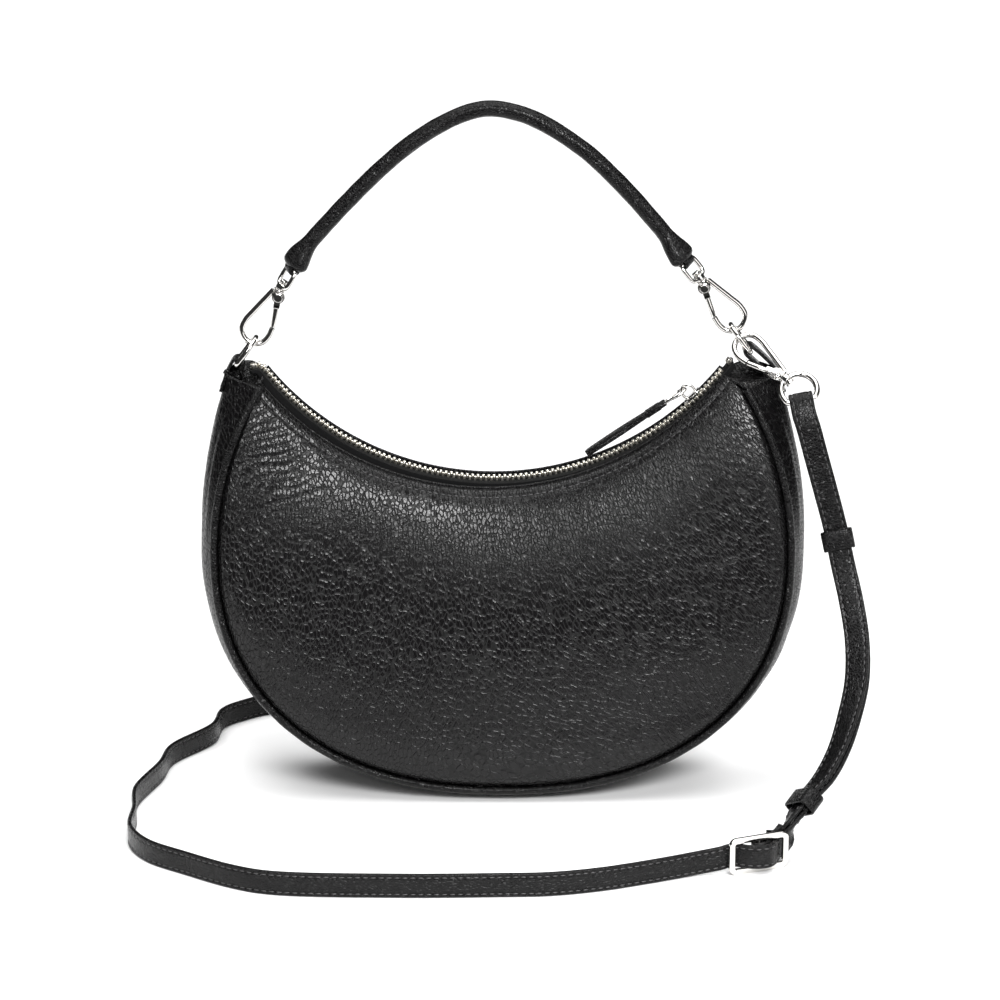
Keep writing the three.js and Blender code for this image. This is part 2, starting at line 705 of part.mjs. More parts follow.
function addHandleHooks() {
  for (const side of Object.keys(sides)) {
    addHook(`handle_hook_${side}`, hookFrame(handleHookPlace(side)), stirrup(), sides[side] * stirrupTurn);
  }
}

const strapHookPlace = {
  near: {                           // hangs on the right D-ring
    centre: dRingFrame("right").bar.clone().add(vec(-1, -7, 2.45)),
    axis: vec(0.70, -0.49, -0.52),
    gateSide: vec(-0.70, -0.36, -0.61),
    bar: vec(0.98, 0, 0.19),
  },
  far: {                            // lies on the ground behind the bag
    centre: vec(78, 112, 2.2),
    axis: vec(-0.98, 0.17, 0.085),
    gateSide: vec(-0.17, -0.98, 0),
    bar: vec(0.17, 0.98, 0),
  },
};

// The straight side of a strap hook's eye: how far the eye turns about the swivel so that this side is
// parallel to the strap's fold, its tilt, its middle, and the way from the eye's centre to it
function strapBar(end) {
  const place = strapHookPlace[end];
  const { u, n, w } = hookAxes(place);
  const flatAcross = place.bar.clone().addScaledVector(w, -place.bar.dot(w));
  const turn = Math.atan2(flatAcross.dot(n), flatAcross.dot(u));
  const tilt = Math.atan2(place.bar.dot(w), flatAcross.length());
  const across = flatAcross.normalize();
  const outward = w.clone().multiplyScalar(Math.cos(tilt)).addScaledVector(across, -Math.sin(tilt));
  const direction = across.clone().multiplyScalar(Math.cos(tilt)).addScaledVector(w, Math.sin(tilt));
  const middle = place.centre.clone().addScaledVector(w, bossMiddle + strapEyeRadius);
  middle.addScaledVector(outward, strapEyeFlat);
  return { turn, tilt, middle, outward, direction };
}

function addStrapHooks() {
  for (const end of ["near", "far"]) {
    const { turn, tilt } = strapBar(end);
    addHook(`strap_hook_${end}`, hookFrame(strapHookPlace[end]), strapEye(-tilt), turn);
  }
}

// ---- Handle ----------------------------------------------------------------------------------------

// Rise of the arch above its ends, at shares of the span
const handleArch = [
  [0.116, 0.357], [0.224, 0.624], [0.323, 0.822], [0.428, 0.962], [0.5, 1],
  [0.601, 0.943], [0.736, 0.733], [0.85, 0.459], [0.955, 0.149],
];

// Where the handle starts, the way it leaves, and the wide axis of its flared end
function handleEnds() {
  return Object.keys(sides).map((side) => {
    const place = handleHookPlace(side);
    const { u, n, w } = hookAxes(place);
    const start = place.centre.clone().addScaledVector(w, bossMiddle + stirrupHeight + stirrupWire + 1.4);
    const turn = sides[side] * stirrupTurn;
    const wide = u.multiplyScalar(Math.cos(turn)).addScaledVector(n, Math.sin(turn));
    return { start, axis: w, wide };
  });
}

function handleCurve([left, right]) {
  const between = handleArch.map(([share, rise]) => {
    const point = left.start.clone().lerp(right.start, share);
    return point.add(vec(0, 0, handleRise * rise));
  });
  const straight = ({ start, axis }) => start.clone().addScaledVector(axis, handleStraight);
  return new THREE.CatmullRomCurve3(
    [left.start, straight(left), ...between, straight(right), right.start], false, "centripetal");
}

function addHandle() {
  const [left, right] = handleEnds();
  const curve = handleCurve([left, right]);
  const flareShare = handleFlareLength / curve.getLength();
  const section = 10;
  const skin = (u, turnIndex, outside, target) => {
    const toEnd = Math.min(u, 1 - u) / flareShare;
    const flare = toEnd < 1 ? 0.5 + 0.5 * Math.cos(Math.PI * toEnd) : 0;
    const depth = outside ? 0 : handleWall;
    const turn = 2 * Math.PI * turnIndex / section;
    const a = (lerp(handleRadius, handleEndHalfWidth, flare) - depth) * Math.cos(turn);
    const b = (lerp(handleRadius, handleEndHalfDepth, flare) - depth) * Math.sin(turn);
    const tangent = curve.getTangentAt(u);
    const wide = left.wide.clone().lerp(right.wide, u);
    wide.addScaledVector(tangent, -wide.dot(tangent)).normalize();
    curve.getPointAt(u, target).addScaledVector(wide, a).addScaledVector(tangent.cross(wide), b);
  };
  bag.add(piece("handle_wrap", openTube(skin, 30, section), smoothLeather));
  const inset = 1.15 * flareShare;
  const corePoints = Array.from({ length: 13 }, (_, i) => curve.getPointAt(lerp(inset, 1 - inset, i / 12)));
  const coreRadius = handleRadius - handleWall - fitGap - 0.5;
  bag.add(piece("handle_core", wire(new THREE.CatmullRomCurve3(corePoints), coreRadius, 26, 6), cloth));
}

// A leather strip folded round the far bar of each stirrup, its two ends inside the flared handle end
function addHandleLoops() {
  const foldRadius = stirrupWire + fitGap + handleLoopThickness / 2;
  const apart = handleLoopThickness / 2 + fitGap;
  const width = 2 * (stirrupHalfWidth - stirrupWire - fitGap) - 1.4;
  const bar = bossMiddle + stirrupHeight;
  for (const side of Object.keys(sides)) {
    const points = [vec(0, apart, bar + handleLoopReach), vec(0, apart, bar + 0.6 * handleLoopReach)];
    for (let i = 0; i <= 6; i++) {
      const angle = Math.PI * i / 6;
      points.push(vec(0, foldRadius * Math.cos(angle), bar - foldRadius * Math.sin(angle)));
    }
    points.push(vec(0, -apart, bar + 0.6 * handleLoopReach), vec(0, -apart, bar + handleLoopReach));
    const path = new THREE.CatmullRomCurve3(points, false, "centripetal");
    const strip = (u, v, target) => {
      path.getPointAt(u, target);
      target.x = lerp(-width / 2, width / 2, v);
    };
    const loopPiece = piece(
      `handle_loop_${side}`,
      sheet(strip, handleLoopThickness, 16, 1, handleLoopThickness / 2),
      smoothLeather);
    loopPiece.rotation.z = sides[side] * stirrupTurn;
    hookFrame(handleHookPlace(side)).add(loopPiece);
  }
}

// ---- Strap -----------------------------------------------------------------------------------------

// A row is a point on the strap and the way its width runs there.
const row = (x, y, z, width) => ({ at: vec(x, y, z), width: vec(...width).normalize() });
const upright = [0, 0, 1];

const buckleCentre = vec(112.5, -119.25, buckleHeight / 2);
const buckleAlong = vec(-0.917, -0.398, 0).normalize();     // the strap runs through the buckle this way
const buckleFront = vec(0.398, -0.917, 0).normalize();
const nearBar = strapBar("near");
const farBar = strapBar("far");

function atBuckle(along, front, rise = 0) {
  const at = buckleCentre.clone().addScaledVector(buckleAlong, along).addScaledVector(buckleFront, front);
  return { at: at.add(vec(0, 0, rise)), width: vec(...upright) };
}

// The middle of the doubled stretch, from the near eye down to the buckle's centre bar
const doubledRows = [
  { at: nearBar.middle.clone().addScaledVector(nearBar.outward, 7), width: nearBar.direction },
  row(138.3, -31.4, 179.6, [0.98, 0, 0.2]),
  row(142.6, -32.0, 164.6, [0.98, 0, 0.2]),
  row(146.9, -32.6, 149.7, [0.98, 0, 0.2]),
  row(151.3, -34.4, 133.7, [0.97, -0.05, 0.2]),
  row(155.0, -38.4, 116.8, [0.96, -0.12, 0.18]),
  row(158.4, -44.2, 101.9, [0.94, -0.2, 0.17]),
  row(160.8, -52.0, 85.4, [0.91, -0.28, 0.17]),
  row(160.3, -61.0, 69.3, [0.85, -0.38, 0.18]),
  row(156.5, -70.0, 55.6, [0.75, -0.5, 0.2]),
  row(150.9, -80.0, 42.5, [0.62, -0.64, 0.25]),
  row(143.5, -90.0, 32.8, [0.6, -0.65, 0.3]),
  row(135.7, -98.0, 26.7, [0.58, -0.63, 0.42]),
  row(130.4, -103.6, 21.4, [0.5, -0.52, 0.6]),
  row(126.3, -107.6, 15.4, [0.25, -0.25, 0.9]),
  atBuckle(-13.8, -5.2, 0.8),
  atBuckle(-10.8, -3.7, 0.3),
  atBuckle(-8.2, -1.1),
  atBuckle(-5.5, 1.8),
  atBuckle(-3, 3.5),
  atBuckle(0.3, 3.6),
];

// From the buckle along the ground, on edge, round the left of the bag and behind it to the far eye
const groundRows = [
  atBuckle(4.2, 3.7),
  atBuckle(7.4, 1.1),
  atBuckle(10.4, -2.1),
  atBuckle(13.2, -3.2, -0.4),
  atBuckle(16, -3.4, -1),
  row(86.7, -124.5, 6.2, upright),
  ...[
    [64.2, -134], [42.1, -143], [20.4, -148.4], [-1.2, -149.6], [-44.3, -150.4], [-99.8, -147],
    [-116.7, -140], [-138.9, -124], [-157.4, -108.5], [-167, -90], [-168, -65], [-170, -40],
    [-162, -5], [-159, 18], [-142, 49], [-138.5, 73], [-126, 88], [-104, 105], [-92, 135],
    [-84, 165], [-68, 182], [-52, 168], [-47, 135], [-40, 110], [-26, 100], [-10, 107],
  ].map(([x, y]) => row(x, y, strapWidth / 2 + 0.1, upright)),
  row(8, 115.5, 5.8, [0.12, 0.7, 0.7]),
];

// What a strap does along its rows: its place, width and face at a share of its length
function route(rows) {
  const curve = new THREE.CatmullRomCurve3(rows.map(({ at }) => at), false, "centripetal");
  curve.arcLengthDivisions = 800;
  const last = rows.length - 1;
  const atParameter = (t) => {
    const segment = Math.min(Math.floor(t * last), last - 1);
    const tangent = curve.getTangent(t);
    const width = rows[segment].width.clone().lerp(rows[segment + 1].width, t * last - segment);
    width.addScaledVector(tangent, -width.dot(tangent)).normalize();
    return { at: curve.getPoint(t), width, face: tangent.cross(width) };
  };
  const atDistance = (distance) => atParameter(curve.getUtoTmapping(distance / curve.getLength()));
  return { atParameter, atDistance };
}

function layer(rows, offset) {
  const { atParameter } = route(rows);
  return rows.map(({ width }, i) => {
    const { at, face } = atParameter(i / (rows.length - 1));
    return { at: at.addScaledVector(face, offset), width };
  });
}

// Half a turn round the straight side of an eye or the centre bar of the buckle
function fold(middle, start, through, radius, width) {
  return Array.from({ length: 7 }, (_, i) => {
    const angle = Math.PI * i / 6;
    const at = middle.clone().addScaledVector(start, radius * Math.cos(angle));
    return { at: at.addScaledVector(through, radius * Math.sin(angle)), width };
  });
}

function ribbon(rows, stepLength) {
  const { atParameter } = route(rows);
  const stops = [0];
  for (let i = 1; i < rows.length; i++) {
    const steps = Math.max(1, Math.round(rows[i].at.distanceTo(rows[i - 1].at) / stepLength));
    for (let k = 1; k <= steps; k++) {
      stops.push((i - 1 + k / steps) / (rows.length - 1));
    }
  }
  const steps = stops.length - 1;
  return sheet((u, v, target) => {
    const before = Math.min(Math.floor(u * steps), steps - 1);
    const { at, width } = atParameter(lerp(stops[before], stops[before + 1], u * steps - before));
    target.copy(at).addScaledVector(width, (v - 0.5) * strapWidth);
  }, strapThickness, steps, 1, strapThickness / 2);
}

const eyeFoldRadius = strapEyeWire + fitGap + strapThickness / 2;

function addStrapMain() {
  const face = farBar.direction.clone().cross(farBar.outward).normalize();
  const inward = farBar.outward.clone().negate();
  const beside = (distance, offset) => {
    const at = farBar.middle.clone().addScaledVector(farBar.outward, distance);
    return { at: at.addScaledVector(face, offset), width: farBar.direction };
  };
  const rows = [
    ...layer(doubledRows, -strapStack),
    ...groundRows,
    beside(sewnEnd, -strapStack),
    beside(sewnEnd / 2, -strapStack),
    ...fold(farBar.middle, face.clone().negate(), inward, eyeFoldRadius, farBar.direction),
    beside(sewnEnd / 2, strapStack),
    beside(sewnEnd, strapStack),
  ];
  bag.add(piece("strap_main", ribbon(rows, 16), smoothLeather));
}

// The other layer of the doubled stretch: over the near eye's bar, down through the keepers, round the
// buckle's centre bar, and back towards the lower keeper
function addStrapReturn() {
  const face = nearBar.outward.clone().cross(nearBar.direction).normalize();
  const barRadius = buckleThickness / 2 + fitGap + strapThickness / 2;
  const barMiddle = buckleCentre.clone().addScaledVector(buckleAlong, 0.3);
  const front = layer(doubledRows, strapStack);
  const tip = layer(doubledRows, 3 * strapStack).slice(-7, -5).reverse();
  const rows = [
    ...fold(
      nearBar.middle, face.clone().negate(), nearBar.outward.clone().negate(),
      eyeFoldRadius, nearBar.direction),
    ...front.slice(0, -1),
    ...fold(barMiddle, buckleFront, buckleAlong, barRadius, vec(...upright)),
    atBuckle(-4, -2.9),
    ...tip,
  ];
  bag.add(piece("strap_return", ribbon(rows, 13), smoothLeather));
}

function addKeepers() {
  const { atDistance } = route(doubledRows);
  const corners = [[1, 1], [-1, 1], [-1, -1], [1, -1]];
  for (const [name, place] of Object.entries(keeperPlaces)) {
    const skin = (u, corner, outside, target) => {
      const { at, width, face } = atDistance(place + (u - 0.5) * keeperLength);
      const clear = keeperGap + (outside ? keeperWall : 0);
      const [a, b] = corners[corner];
      target.copy(at).addScaledVector(width, a * (strapWidth / 2 + clear));
      target.addScaledVector(face, b * (strapStack + strapThickness / 2 + clear));
    };
    bag.add(piece(`keeper_${name}`, openTube(skin, 4, 4), smoothLeather));
  }
}

function roundedRectangle(outline, centreX, halfX, halfY, radius) {
  outline.absarc(centreX + halfX - radius, halfY - radius, radius, 0, Math.PI / 2);
  outline.absarc(centreX - halfX + radius, halfY - radius, radius, Math.PI / 2, Math.PI);
  outline.absarc(centreX - halfX + radius, -halfY + radius, radius, Math.PI, 1.5 * Math.PI);
  outline.absarc(centreX + halfX - radius, -halfY + radius, radius, 1.5 * Math.PI, 2 * Math.PI);
  outline.closePath();
  return outline;
}

function addBuckle() {
  const outline = roundedRectangle(
    new THREE.Shape(), 0, buckleLength / 2, buckleHeight / 2, buckleCornerRadius);
  const windowHalf = (buckleLength / 2 - buckleBar - buckleCentreBar / 2) / 2;
  for (const side of [-1, 1]) {
    const middle = side * (buckleCentreBar / 2 + windowHalf);
    outline.holes.push(
      roundedRectangle(new THREE.Path(), middle, windowHalf, buckleHeight / 2 - buckleBar, 0.8));
  }
  const frame = new THREE.ExtrudeGeometry(outline, {
    depth: buckleThickness, curveSegments: 4, bevelEnabled: false,
  });
  frame.translate(0, 0, -buckleThickness / 2);
  const buckle = piece("buckle", frame, nickel);
  const across = buckleAlong.clone().negate();
  buckle.quaternion.setFromRotationMatrix(
    new THREE.Matrix4().makeBasis(across, vec(...upright), buckleFront));
  buckle.position.copy(buckleCentre);
  bag.add(buckle);
}

// ---- Build -----------------------------------------------------------------------------------------

addPanels();
addGusset();
addPiping();
addInside();
addZipSides();
addZipStops();
addSlider();
addPuller();
addDRings();
addTabs();
addHandleHooks();
addStrapHooks();
addHandle();
addHandleLoops();
addStrapMain();
addStrapReturn();
addKeepers();
addBuckle();

export default bag;
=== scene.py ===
# Half-moon leather shoulder bag: the finished surfaces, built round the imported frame.
# Metres, +Z up, the front of the bag faces -Y.
import json
import math

import bmesh
import bpy
from mathutils import Matrix, Vector, noise
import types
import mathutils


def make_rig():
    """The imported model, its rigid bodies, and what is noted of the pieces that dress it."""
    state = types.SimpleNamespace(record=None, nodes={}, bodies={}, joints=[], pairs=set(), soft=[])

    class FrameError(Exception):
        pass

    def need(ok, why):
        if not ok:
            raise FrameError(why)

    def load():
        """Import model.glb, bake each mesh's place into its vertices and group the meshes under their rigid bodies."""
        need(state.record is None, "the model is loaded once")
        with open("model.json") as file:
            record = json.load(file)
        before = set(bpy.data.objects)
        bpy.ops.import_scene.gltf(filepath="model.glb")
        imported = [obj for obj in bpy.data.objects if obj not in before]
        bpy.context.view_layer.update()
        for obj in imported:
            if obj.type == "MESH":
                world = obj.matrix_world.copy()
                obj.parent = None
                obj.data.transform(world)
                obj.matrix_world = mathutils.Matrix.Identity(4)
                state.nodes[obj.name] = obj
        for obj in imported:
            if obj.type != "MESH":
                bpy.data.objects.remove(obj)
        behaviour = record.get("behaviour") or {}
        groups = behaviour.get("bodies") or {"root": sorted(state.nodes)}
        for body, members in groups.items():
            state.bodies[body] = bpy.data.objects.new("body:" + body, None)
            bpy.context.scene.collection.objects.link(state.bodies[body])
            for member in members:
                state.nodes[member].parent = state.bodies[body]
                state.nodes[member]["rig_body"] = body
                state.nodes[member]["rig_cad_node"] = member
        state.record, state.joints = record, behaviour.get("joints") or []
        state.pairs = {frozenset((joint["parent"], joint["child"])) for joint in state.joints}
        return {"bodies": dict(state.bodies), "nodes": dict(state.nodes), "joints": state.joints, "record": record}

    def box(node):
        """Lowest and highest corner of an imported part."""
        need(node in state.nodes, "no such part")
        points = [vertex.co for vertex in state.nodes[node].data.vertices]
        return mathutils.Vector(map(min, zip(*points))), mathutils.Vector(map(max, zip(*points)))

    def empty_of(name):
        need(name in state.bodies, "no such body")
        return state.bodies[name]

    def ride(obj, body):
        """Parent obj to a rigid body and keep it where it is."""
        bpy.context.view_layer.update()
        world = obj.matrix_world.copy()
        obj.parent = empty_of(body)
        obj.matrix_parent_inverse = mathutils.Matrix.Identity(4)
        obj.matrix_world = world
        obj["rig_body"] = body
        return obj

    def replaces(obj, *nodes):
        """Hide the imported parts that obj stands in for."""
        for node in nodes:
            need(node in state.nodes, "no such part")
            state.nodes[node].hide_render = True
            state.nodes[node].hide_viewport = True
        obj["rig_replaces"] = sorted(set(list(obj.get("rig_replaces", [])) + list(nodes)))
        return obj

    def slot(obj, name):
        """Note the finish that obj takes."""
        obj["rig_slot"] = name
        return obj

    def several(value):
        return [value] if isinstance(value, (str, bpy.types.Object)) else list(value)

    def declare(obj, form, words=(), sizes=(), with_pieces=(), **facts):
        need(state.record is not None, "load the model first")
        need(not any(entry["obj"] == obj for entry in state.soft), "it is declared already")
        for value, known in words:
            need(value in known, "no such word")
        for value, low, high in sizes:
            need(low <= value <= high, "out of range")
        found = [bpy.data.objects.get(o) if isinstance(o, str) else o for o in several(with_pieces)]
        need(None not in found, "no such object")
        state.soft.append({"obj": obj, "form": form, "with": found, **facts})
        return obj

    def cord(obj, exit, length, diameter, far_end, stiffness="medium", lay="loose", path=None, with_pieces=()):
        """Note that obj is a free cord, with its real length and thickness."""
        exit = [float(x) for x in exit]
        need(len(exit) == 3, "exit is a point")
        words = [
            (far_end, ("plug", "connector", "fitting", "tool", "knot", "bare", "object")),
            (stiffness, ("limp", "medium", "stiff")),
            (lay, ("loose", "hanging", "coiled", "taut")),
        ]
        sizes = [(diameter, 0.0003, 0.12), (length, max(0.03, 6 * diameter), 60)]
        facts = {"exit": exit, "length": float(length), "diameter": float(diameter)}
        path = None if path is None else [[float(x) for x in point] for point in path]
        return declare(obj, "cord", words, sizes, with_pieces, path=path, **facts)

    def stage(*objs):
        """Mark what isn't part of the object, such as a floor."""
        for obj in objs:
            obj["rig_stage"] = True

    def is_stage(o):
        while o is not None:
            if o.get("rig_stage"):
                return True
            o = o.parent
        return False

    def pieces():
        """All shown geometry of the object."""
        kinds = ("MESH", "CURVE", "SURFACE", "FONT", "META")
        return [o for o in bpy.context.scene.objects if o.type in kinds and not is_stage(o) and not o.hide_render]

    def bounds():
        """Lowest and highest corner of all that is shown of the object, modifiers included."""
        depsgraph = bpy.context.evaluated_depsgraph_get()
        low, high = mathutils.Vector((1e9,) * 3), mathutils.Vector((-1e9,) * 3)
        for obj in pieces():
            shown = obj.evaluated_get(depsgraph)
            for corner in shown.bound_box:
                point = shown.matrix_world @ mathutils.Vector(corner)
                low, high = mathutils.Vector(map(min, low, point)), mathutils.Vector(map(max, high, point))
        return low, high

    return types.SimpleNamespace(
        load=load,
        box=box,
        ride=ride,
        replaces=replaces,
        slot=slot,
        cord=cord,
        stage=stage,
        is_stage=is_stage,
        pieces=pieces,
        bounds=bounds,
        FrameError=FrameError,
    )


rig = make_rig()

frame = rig.load()
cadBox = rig.bounds()
mm = 0.001
up = Vector((0, 0, 1))
sides = {"left": -1, "right": 1}


# camera, floor and light

studio = dict(
    target=Vector((-0.0012, 0, 0.1372)), distance=1.5, tiltDown=15, lens=116.1,
    floorHalf=14, floorFront=-0.31,
    skyTop=3.6, skyBand=0.04, skyFrom=0.72, skyFull=0.9,
    softboxes=[
        # name, place, aimed at, width, height, watts
        ("key", (0.3, -1.22, 0.84), (0, 0, 0.13), 0.75, 0.32, 21),
        ("left", (-0.36, -1.26, 0.6), (0, 0, 0.13), 0.25, 0.25, 2),
        ("right", (0.9, -1.15, 0.5), (0.08, 0, 0.13), 0.9, 0.9, 4.5),
    ])


def addCamera():
    tilt = math.radians(studio["tiltDown"])
    ahead = Vector((0, math.cos(tilt), -math.sin(tilt)))
    data = bpy.data.cameras.new("camera")
    data.lens = studio["lens"]
    data.sensor_width = 36
    data.clip_end = 30
    camera = bpy.data.objects.new("camera", data)
    camera.location = studio["target"] - studio["distance"] * ahead
    camera.rotation_euler = (math.pi / 2 - tilt, 0, 0)
    bpy.context.scene.collection.objects.link(camera)
    bpy.context.scene.camera = camera


def addLights():
    for name, place, aim, width, height, power in studio["softboxes"]:
        data = bpy.data.lights.new(name, "AREA")
        data.shape = "RECTANGLE"
        data.size = width
        data.size_y = height
        data.energy = power
        light = bpy.data.objects.new(name, data)
        light.location = place
        light.rotation_euler = (Vector(aim) - Vector(place)).to_track_quat("-Z", "Y").to_euler()
        bpy.context.scene.collection.objects.link(light)
    # the ceiling is bright only overhead: it whitens the floor, and the dark walls draw the metal's edges
    world = bpy.data.worlds.new("studio")
    world.use_nodes = True
    bpy.context.scene.world = world
    tree = world.node_tree
    background = tree.nodes["Background"]
    background.inputs["Color"].default_value = (1, 1, 1, 1)
    place = addNode(tree, "TexCoord")
    parts = addNode(tree, "SeparateXYZ", {"Vector": place.outputs["Generated"]})
    height = addNode(tree, "MapRange", {
        "Value": parts.outputs["Z"], "From Min": studio["skyFrom"], "From Max": studio["skyFull"],
        "To Min": studio["skyBand"], "To Max": studio["skyTop"]}, interpolation_type="SMOOTHSTEP")
    # the backdrop itself is plain white, and the bag doesn't mirror it
    seen = addNode(tree, "LightPath")
    lighter = addNode(tree, "Math", {0: 1.0, 1: height.outputs["Result"]}, operation="SUBTRACT")
    strength = addNode(tree, "Math", {
        0: lighter.outputs[0], 1: seen.outputs["Is Camera Ray"], 2: height.outputs["Result"]},
        operation="MULTIPLY_ADD")
    tree.links.new(strength.outputs[0], background.inputs["Strength"])
    bpy.context.scene.view_settings.view_transform = "Standard"


# materials

def addNode(tree, kind, inputs=None, **settings):
    node = tree.nodes.new("ShaderNode" + kind)
    for name, value in settings.items():
        setattr(node, name, value)
    for name, value in (inputs or {}).items():
        if isinstance(value, bpy.types.NodeSocket):
            tree.links.new(value, node.inputs[name])
        else:
            node.inputs[name].default_value = value
    return node


def colour(code):
    # sRGB hex to linear
    channels = [int(code[k:k + 2], 16) / 255 for k in (1, 3, 5)]
    linear = [c / 12.92 if c <= 0.04045 else ((c + 0.055) / 1.055) ** 2.4 for c in channels]
    return (*linear, 1)


def newMaterial(name, **values):
    material = bpy.data.materials.new(name)
    material.use_nodes = True
    tree = material.node_tree
    shader = tree.nodes["Principled BSDF"]
    for socket, value in values.items():
        shader.inputs[socket.replace("_", " ")].default_value = value
    return material, tree, shader


pebble = dict(
    cell=1.7 * mm, tall=0.5, warp=3.2 * mm, drift=11 * mm, crease=0.17,
    slant=0.75, slantLeft=-50 * mm, slantRight=110 * mm, slantHeight=100 * mm,
    fine=1.2 * mm, fineCrease=0.25, fineShare=0.1, pore=0.6 * mm, poreShare=0.1, depth=0.2 * mm,
    creaseRoughness=0.42, topRoughness=0.21, patch=30 * mm, patchRoughness=0.12)


def pebbledLeather(name, level):
    # drum-dyed cowhide with a tumbled grain: near black, its tall slanting pebbles catch thin lines of light
    material, tree, shader = newMaterial(name, IOR=1.46, Specular_IOR_Level=level)
    place = addNode(tree, "TexCoord").outputs["Object"]
    parts = addNode(tree, "SeparateXYZ", {"Vector": place})
    # the pebbles lean over towards the right
    slant = addNode(tree, "MapRange", {
        "Value": parts.outputs["X"], "From Min": pebble["slantLeft"], "From Max": pebble["slantRight"],
        "To Min": 0.0, "To Max": pebble["slant"]}, interpolation_type="SMOOTHSTEP")
    rise = addNode(tree, "Math", {0: parts.outputs["Z"], 1: pebble["slantHeight"]}, operation="SUBTRACT")
    sheared = addNode(tree, "Math", {
        0: slant.outputs["Result"], 1: rise.outputs[0], 2: parts.outputs["X"]}, operation="MULTIPLY_ADD")
    shortened = addNode(tree, "Math", {0: parts.outputs["Z"], 1: pebble["tall"]}, operation="MULTIPLY")
    leaning = addNode(tree, "CombineXYZ", {
        "X": sheared.outputs[0], "Y": parts.outputs["Y"], "Z": shortened.outputs[0]})
    drift = addNode(tree, "TexNoise", {"Vector": place, "Scale": 1 / pebble["drift"], "Detail": 3.0})
    centred = addNode(tree, "VectorMath", {
        0: drift.outputs["Color"], 1: (0.5, 0.5, 0.5)}, operation="SUBTRACT")
    pushed = addNode(tree, "VectorMath", {0: centred.outputs[0], "Scale": pebble["warp"]}, operation="SCALE")
    warped = addNode(tree, "VectorMath", {0: leaning.outputs[0], 1: pushed.outputs[0]}, operation="ADD")
    cells = addNode(tree, "TexVoronoi", {
        "Vector": warped.outputs[0], "Scale": 1 / pebble["cell"], "Randomness": 0.85},
        feature="DISTANCE_TO_EDGE")
    ridge = addNode(tree, "MapRange", {
        "Value": cells.outputs["Distance"], "From Min": 0.0, "From Max": pebble["crease"],
        "To Min": 0.0, "To Max": 1.0}, interpolation_type="SMOOTHSTEP")
    small = addNode(tree, "TexVoronoi", {
        "Vector": place, "Scale": 1 / pebble["fine"], "Randomness": 1.0}, feature="DISTANCE_TO_EDGE")
    smallRidge = addNode(tree, "MapRange", {
        "Value": small.outputs["Distance"], "From Min": 0.0, "From Max": pebble["fineCrease"],
        "To Min": 0.0, "To Max": 1.0}, interpolation_type="SMOOTHSTEP")
    grain = addNode(tree, "Math", {
        0: smallRidge.outputs["Result"], 1: pebble["fineShare"], 2: ridge.outputs["Result"]},
        operation="MULTIPLY_ADD")
    pores = addNode(tree, "TexNoise", {"Vector": place, "Scale": 1 / pebble["pore"], "Detail": 1.0})
    raised = addNode(tree, "Math", {
        0: pores.outputs["Fac"], 1: pebble["poreShare"], 2: grain.outputs[0]}, operation="MULTIPLY_ADD")
    bump = addNode(tree, "Bump", {"Height": raised.outputs[0], "Distance": pebble["depth"], "Strength": 1.0})
    patches = addNode(tree, "TexNoise", {"Vector": place, "Scale": 1 / pebble["patch"], "Detail": 3.0})
    # the creases are coloured darker than the pebble tops: painted shade in the creases
    tone = addNode(tree, "Mix", {
        "Factor": ridge.outputs["Result"], "A": colour("#030303"), "B": colour("#0a090a")}, data_type="RGBA")
    gloss = addNode(tree, "MapRange", {
        "Value": ridge.outputs["Result"], "From Min": 0.0, "From Max": 1.0,
        "To Min": pebble["creaseRoughness"], "To Max": pebble["topRoughness"]})
    uneven = addNode(tree, "Math", {
        0: patches.outputs["Fac"], 1: pebble["patchRoughness"], 2: gloss.outputs["Result"]},
        operation="MULTIPLY_ADD")
    rough = addNode(tree, "Math", {
        0: uneven.outputs[0], 1: pebble["patchRoughness"] / 2}, operation="SUBTRACT")
    tree.links.new(tone.outputs["Result"], shader.inputs["Base Color"])
    tree.links.new(rough.outputs[0], shader.inputs["Roughness"])
    tree.links.new(bump.outputs["Normal"], shader.inputs["Normal"])
    return material


pressed = dict(grain=1.1 * mm, grainCrease=0.16, crease=4 * mm, creaseShare=3.0, depth=0.11 * mm)


def smoothLeather():
    # the same hide pressed flat and edge-painted: finer grain, a little more shine
    material, tree, shader = newMaterial("smoothCowhide", IOR=1.47, Specular_IOR_Level=0.23)
    place = addNode(tree, "TexCoord").outputs["Object"]
    cells = addNode(tree, "TexVoronoi", {
        "Vector": place, "Scale": 1 / pressed["grain"], "Randomness": 1.0}, feature="DISTANCE_TO_EDGE")
    ridge = addNode(tree, "MapRange", {
        "Value": cells.outputs["Distance"], "From Min": 0.0, "From Max": pressed["grainCrease"],
        "To Min": 0.0, "To Max": 1.0})
    creases = addNode(tree, "TexNoise", {"Vector": place, "Scale": 1 / pressed["crease"], "Detail": 2.0})
    height = addNode(tree, "Math", {
        0: creases.outputs["Fac"], 1: pressed["creaseShare"], 2: ridge.outputs["Result"]},
        operation="MULTIPLY_ADD")
    bump = addNode(tree, "Bump", {"Height": height.outputs[0], "Distance": pressed["depth"], "Strength": 1.0})
    # the low parts of the crease pattern are coloured darker: painted shade in the creases
    tone = addNode(tree, "Mix", {
        "Factor": creases.outputs["Fac"], "A": colour("#050505"), "B": colour("#0b0a0b")}, data_type="RGBA")
    rough = addNode(tree, "MapRange", {
        "Value": creases.outputs["Fac"], "From Min": 0.3, "From Max": 0.7, "To Min": 0.18, "To Max": 0.3})
    tree.links.new(tone.outputs["Result"], shader.inputs["Base Color"])
    tree.links.new(rough.outputs["Result"], shader.inputs["Roughness"])
    tree.links.new(bump.outputs["Normal"], shader.inputs["Normal"])
    return material


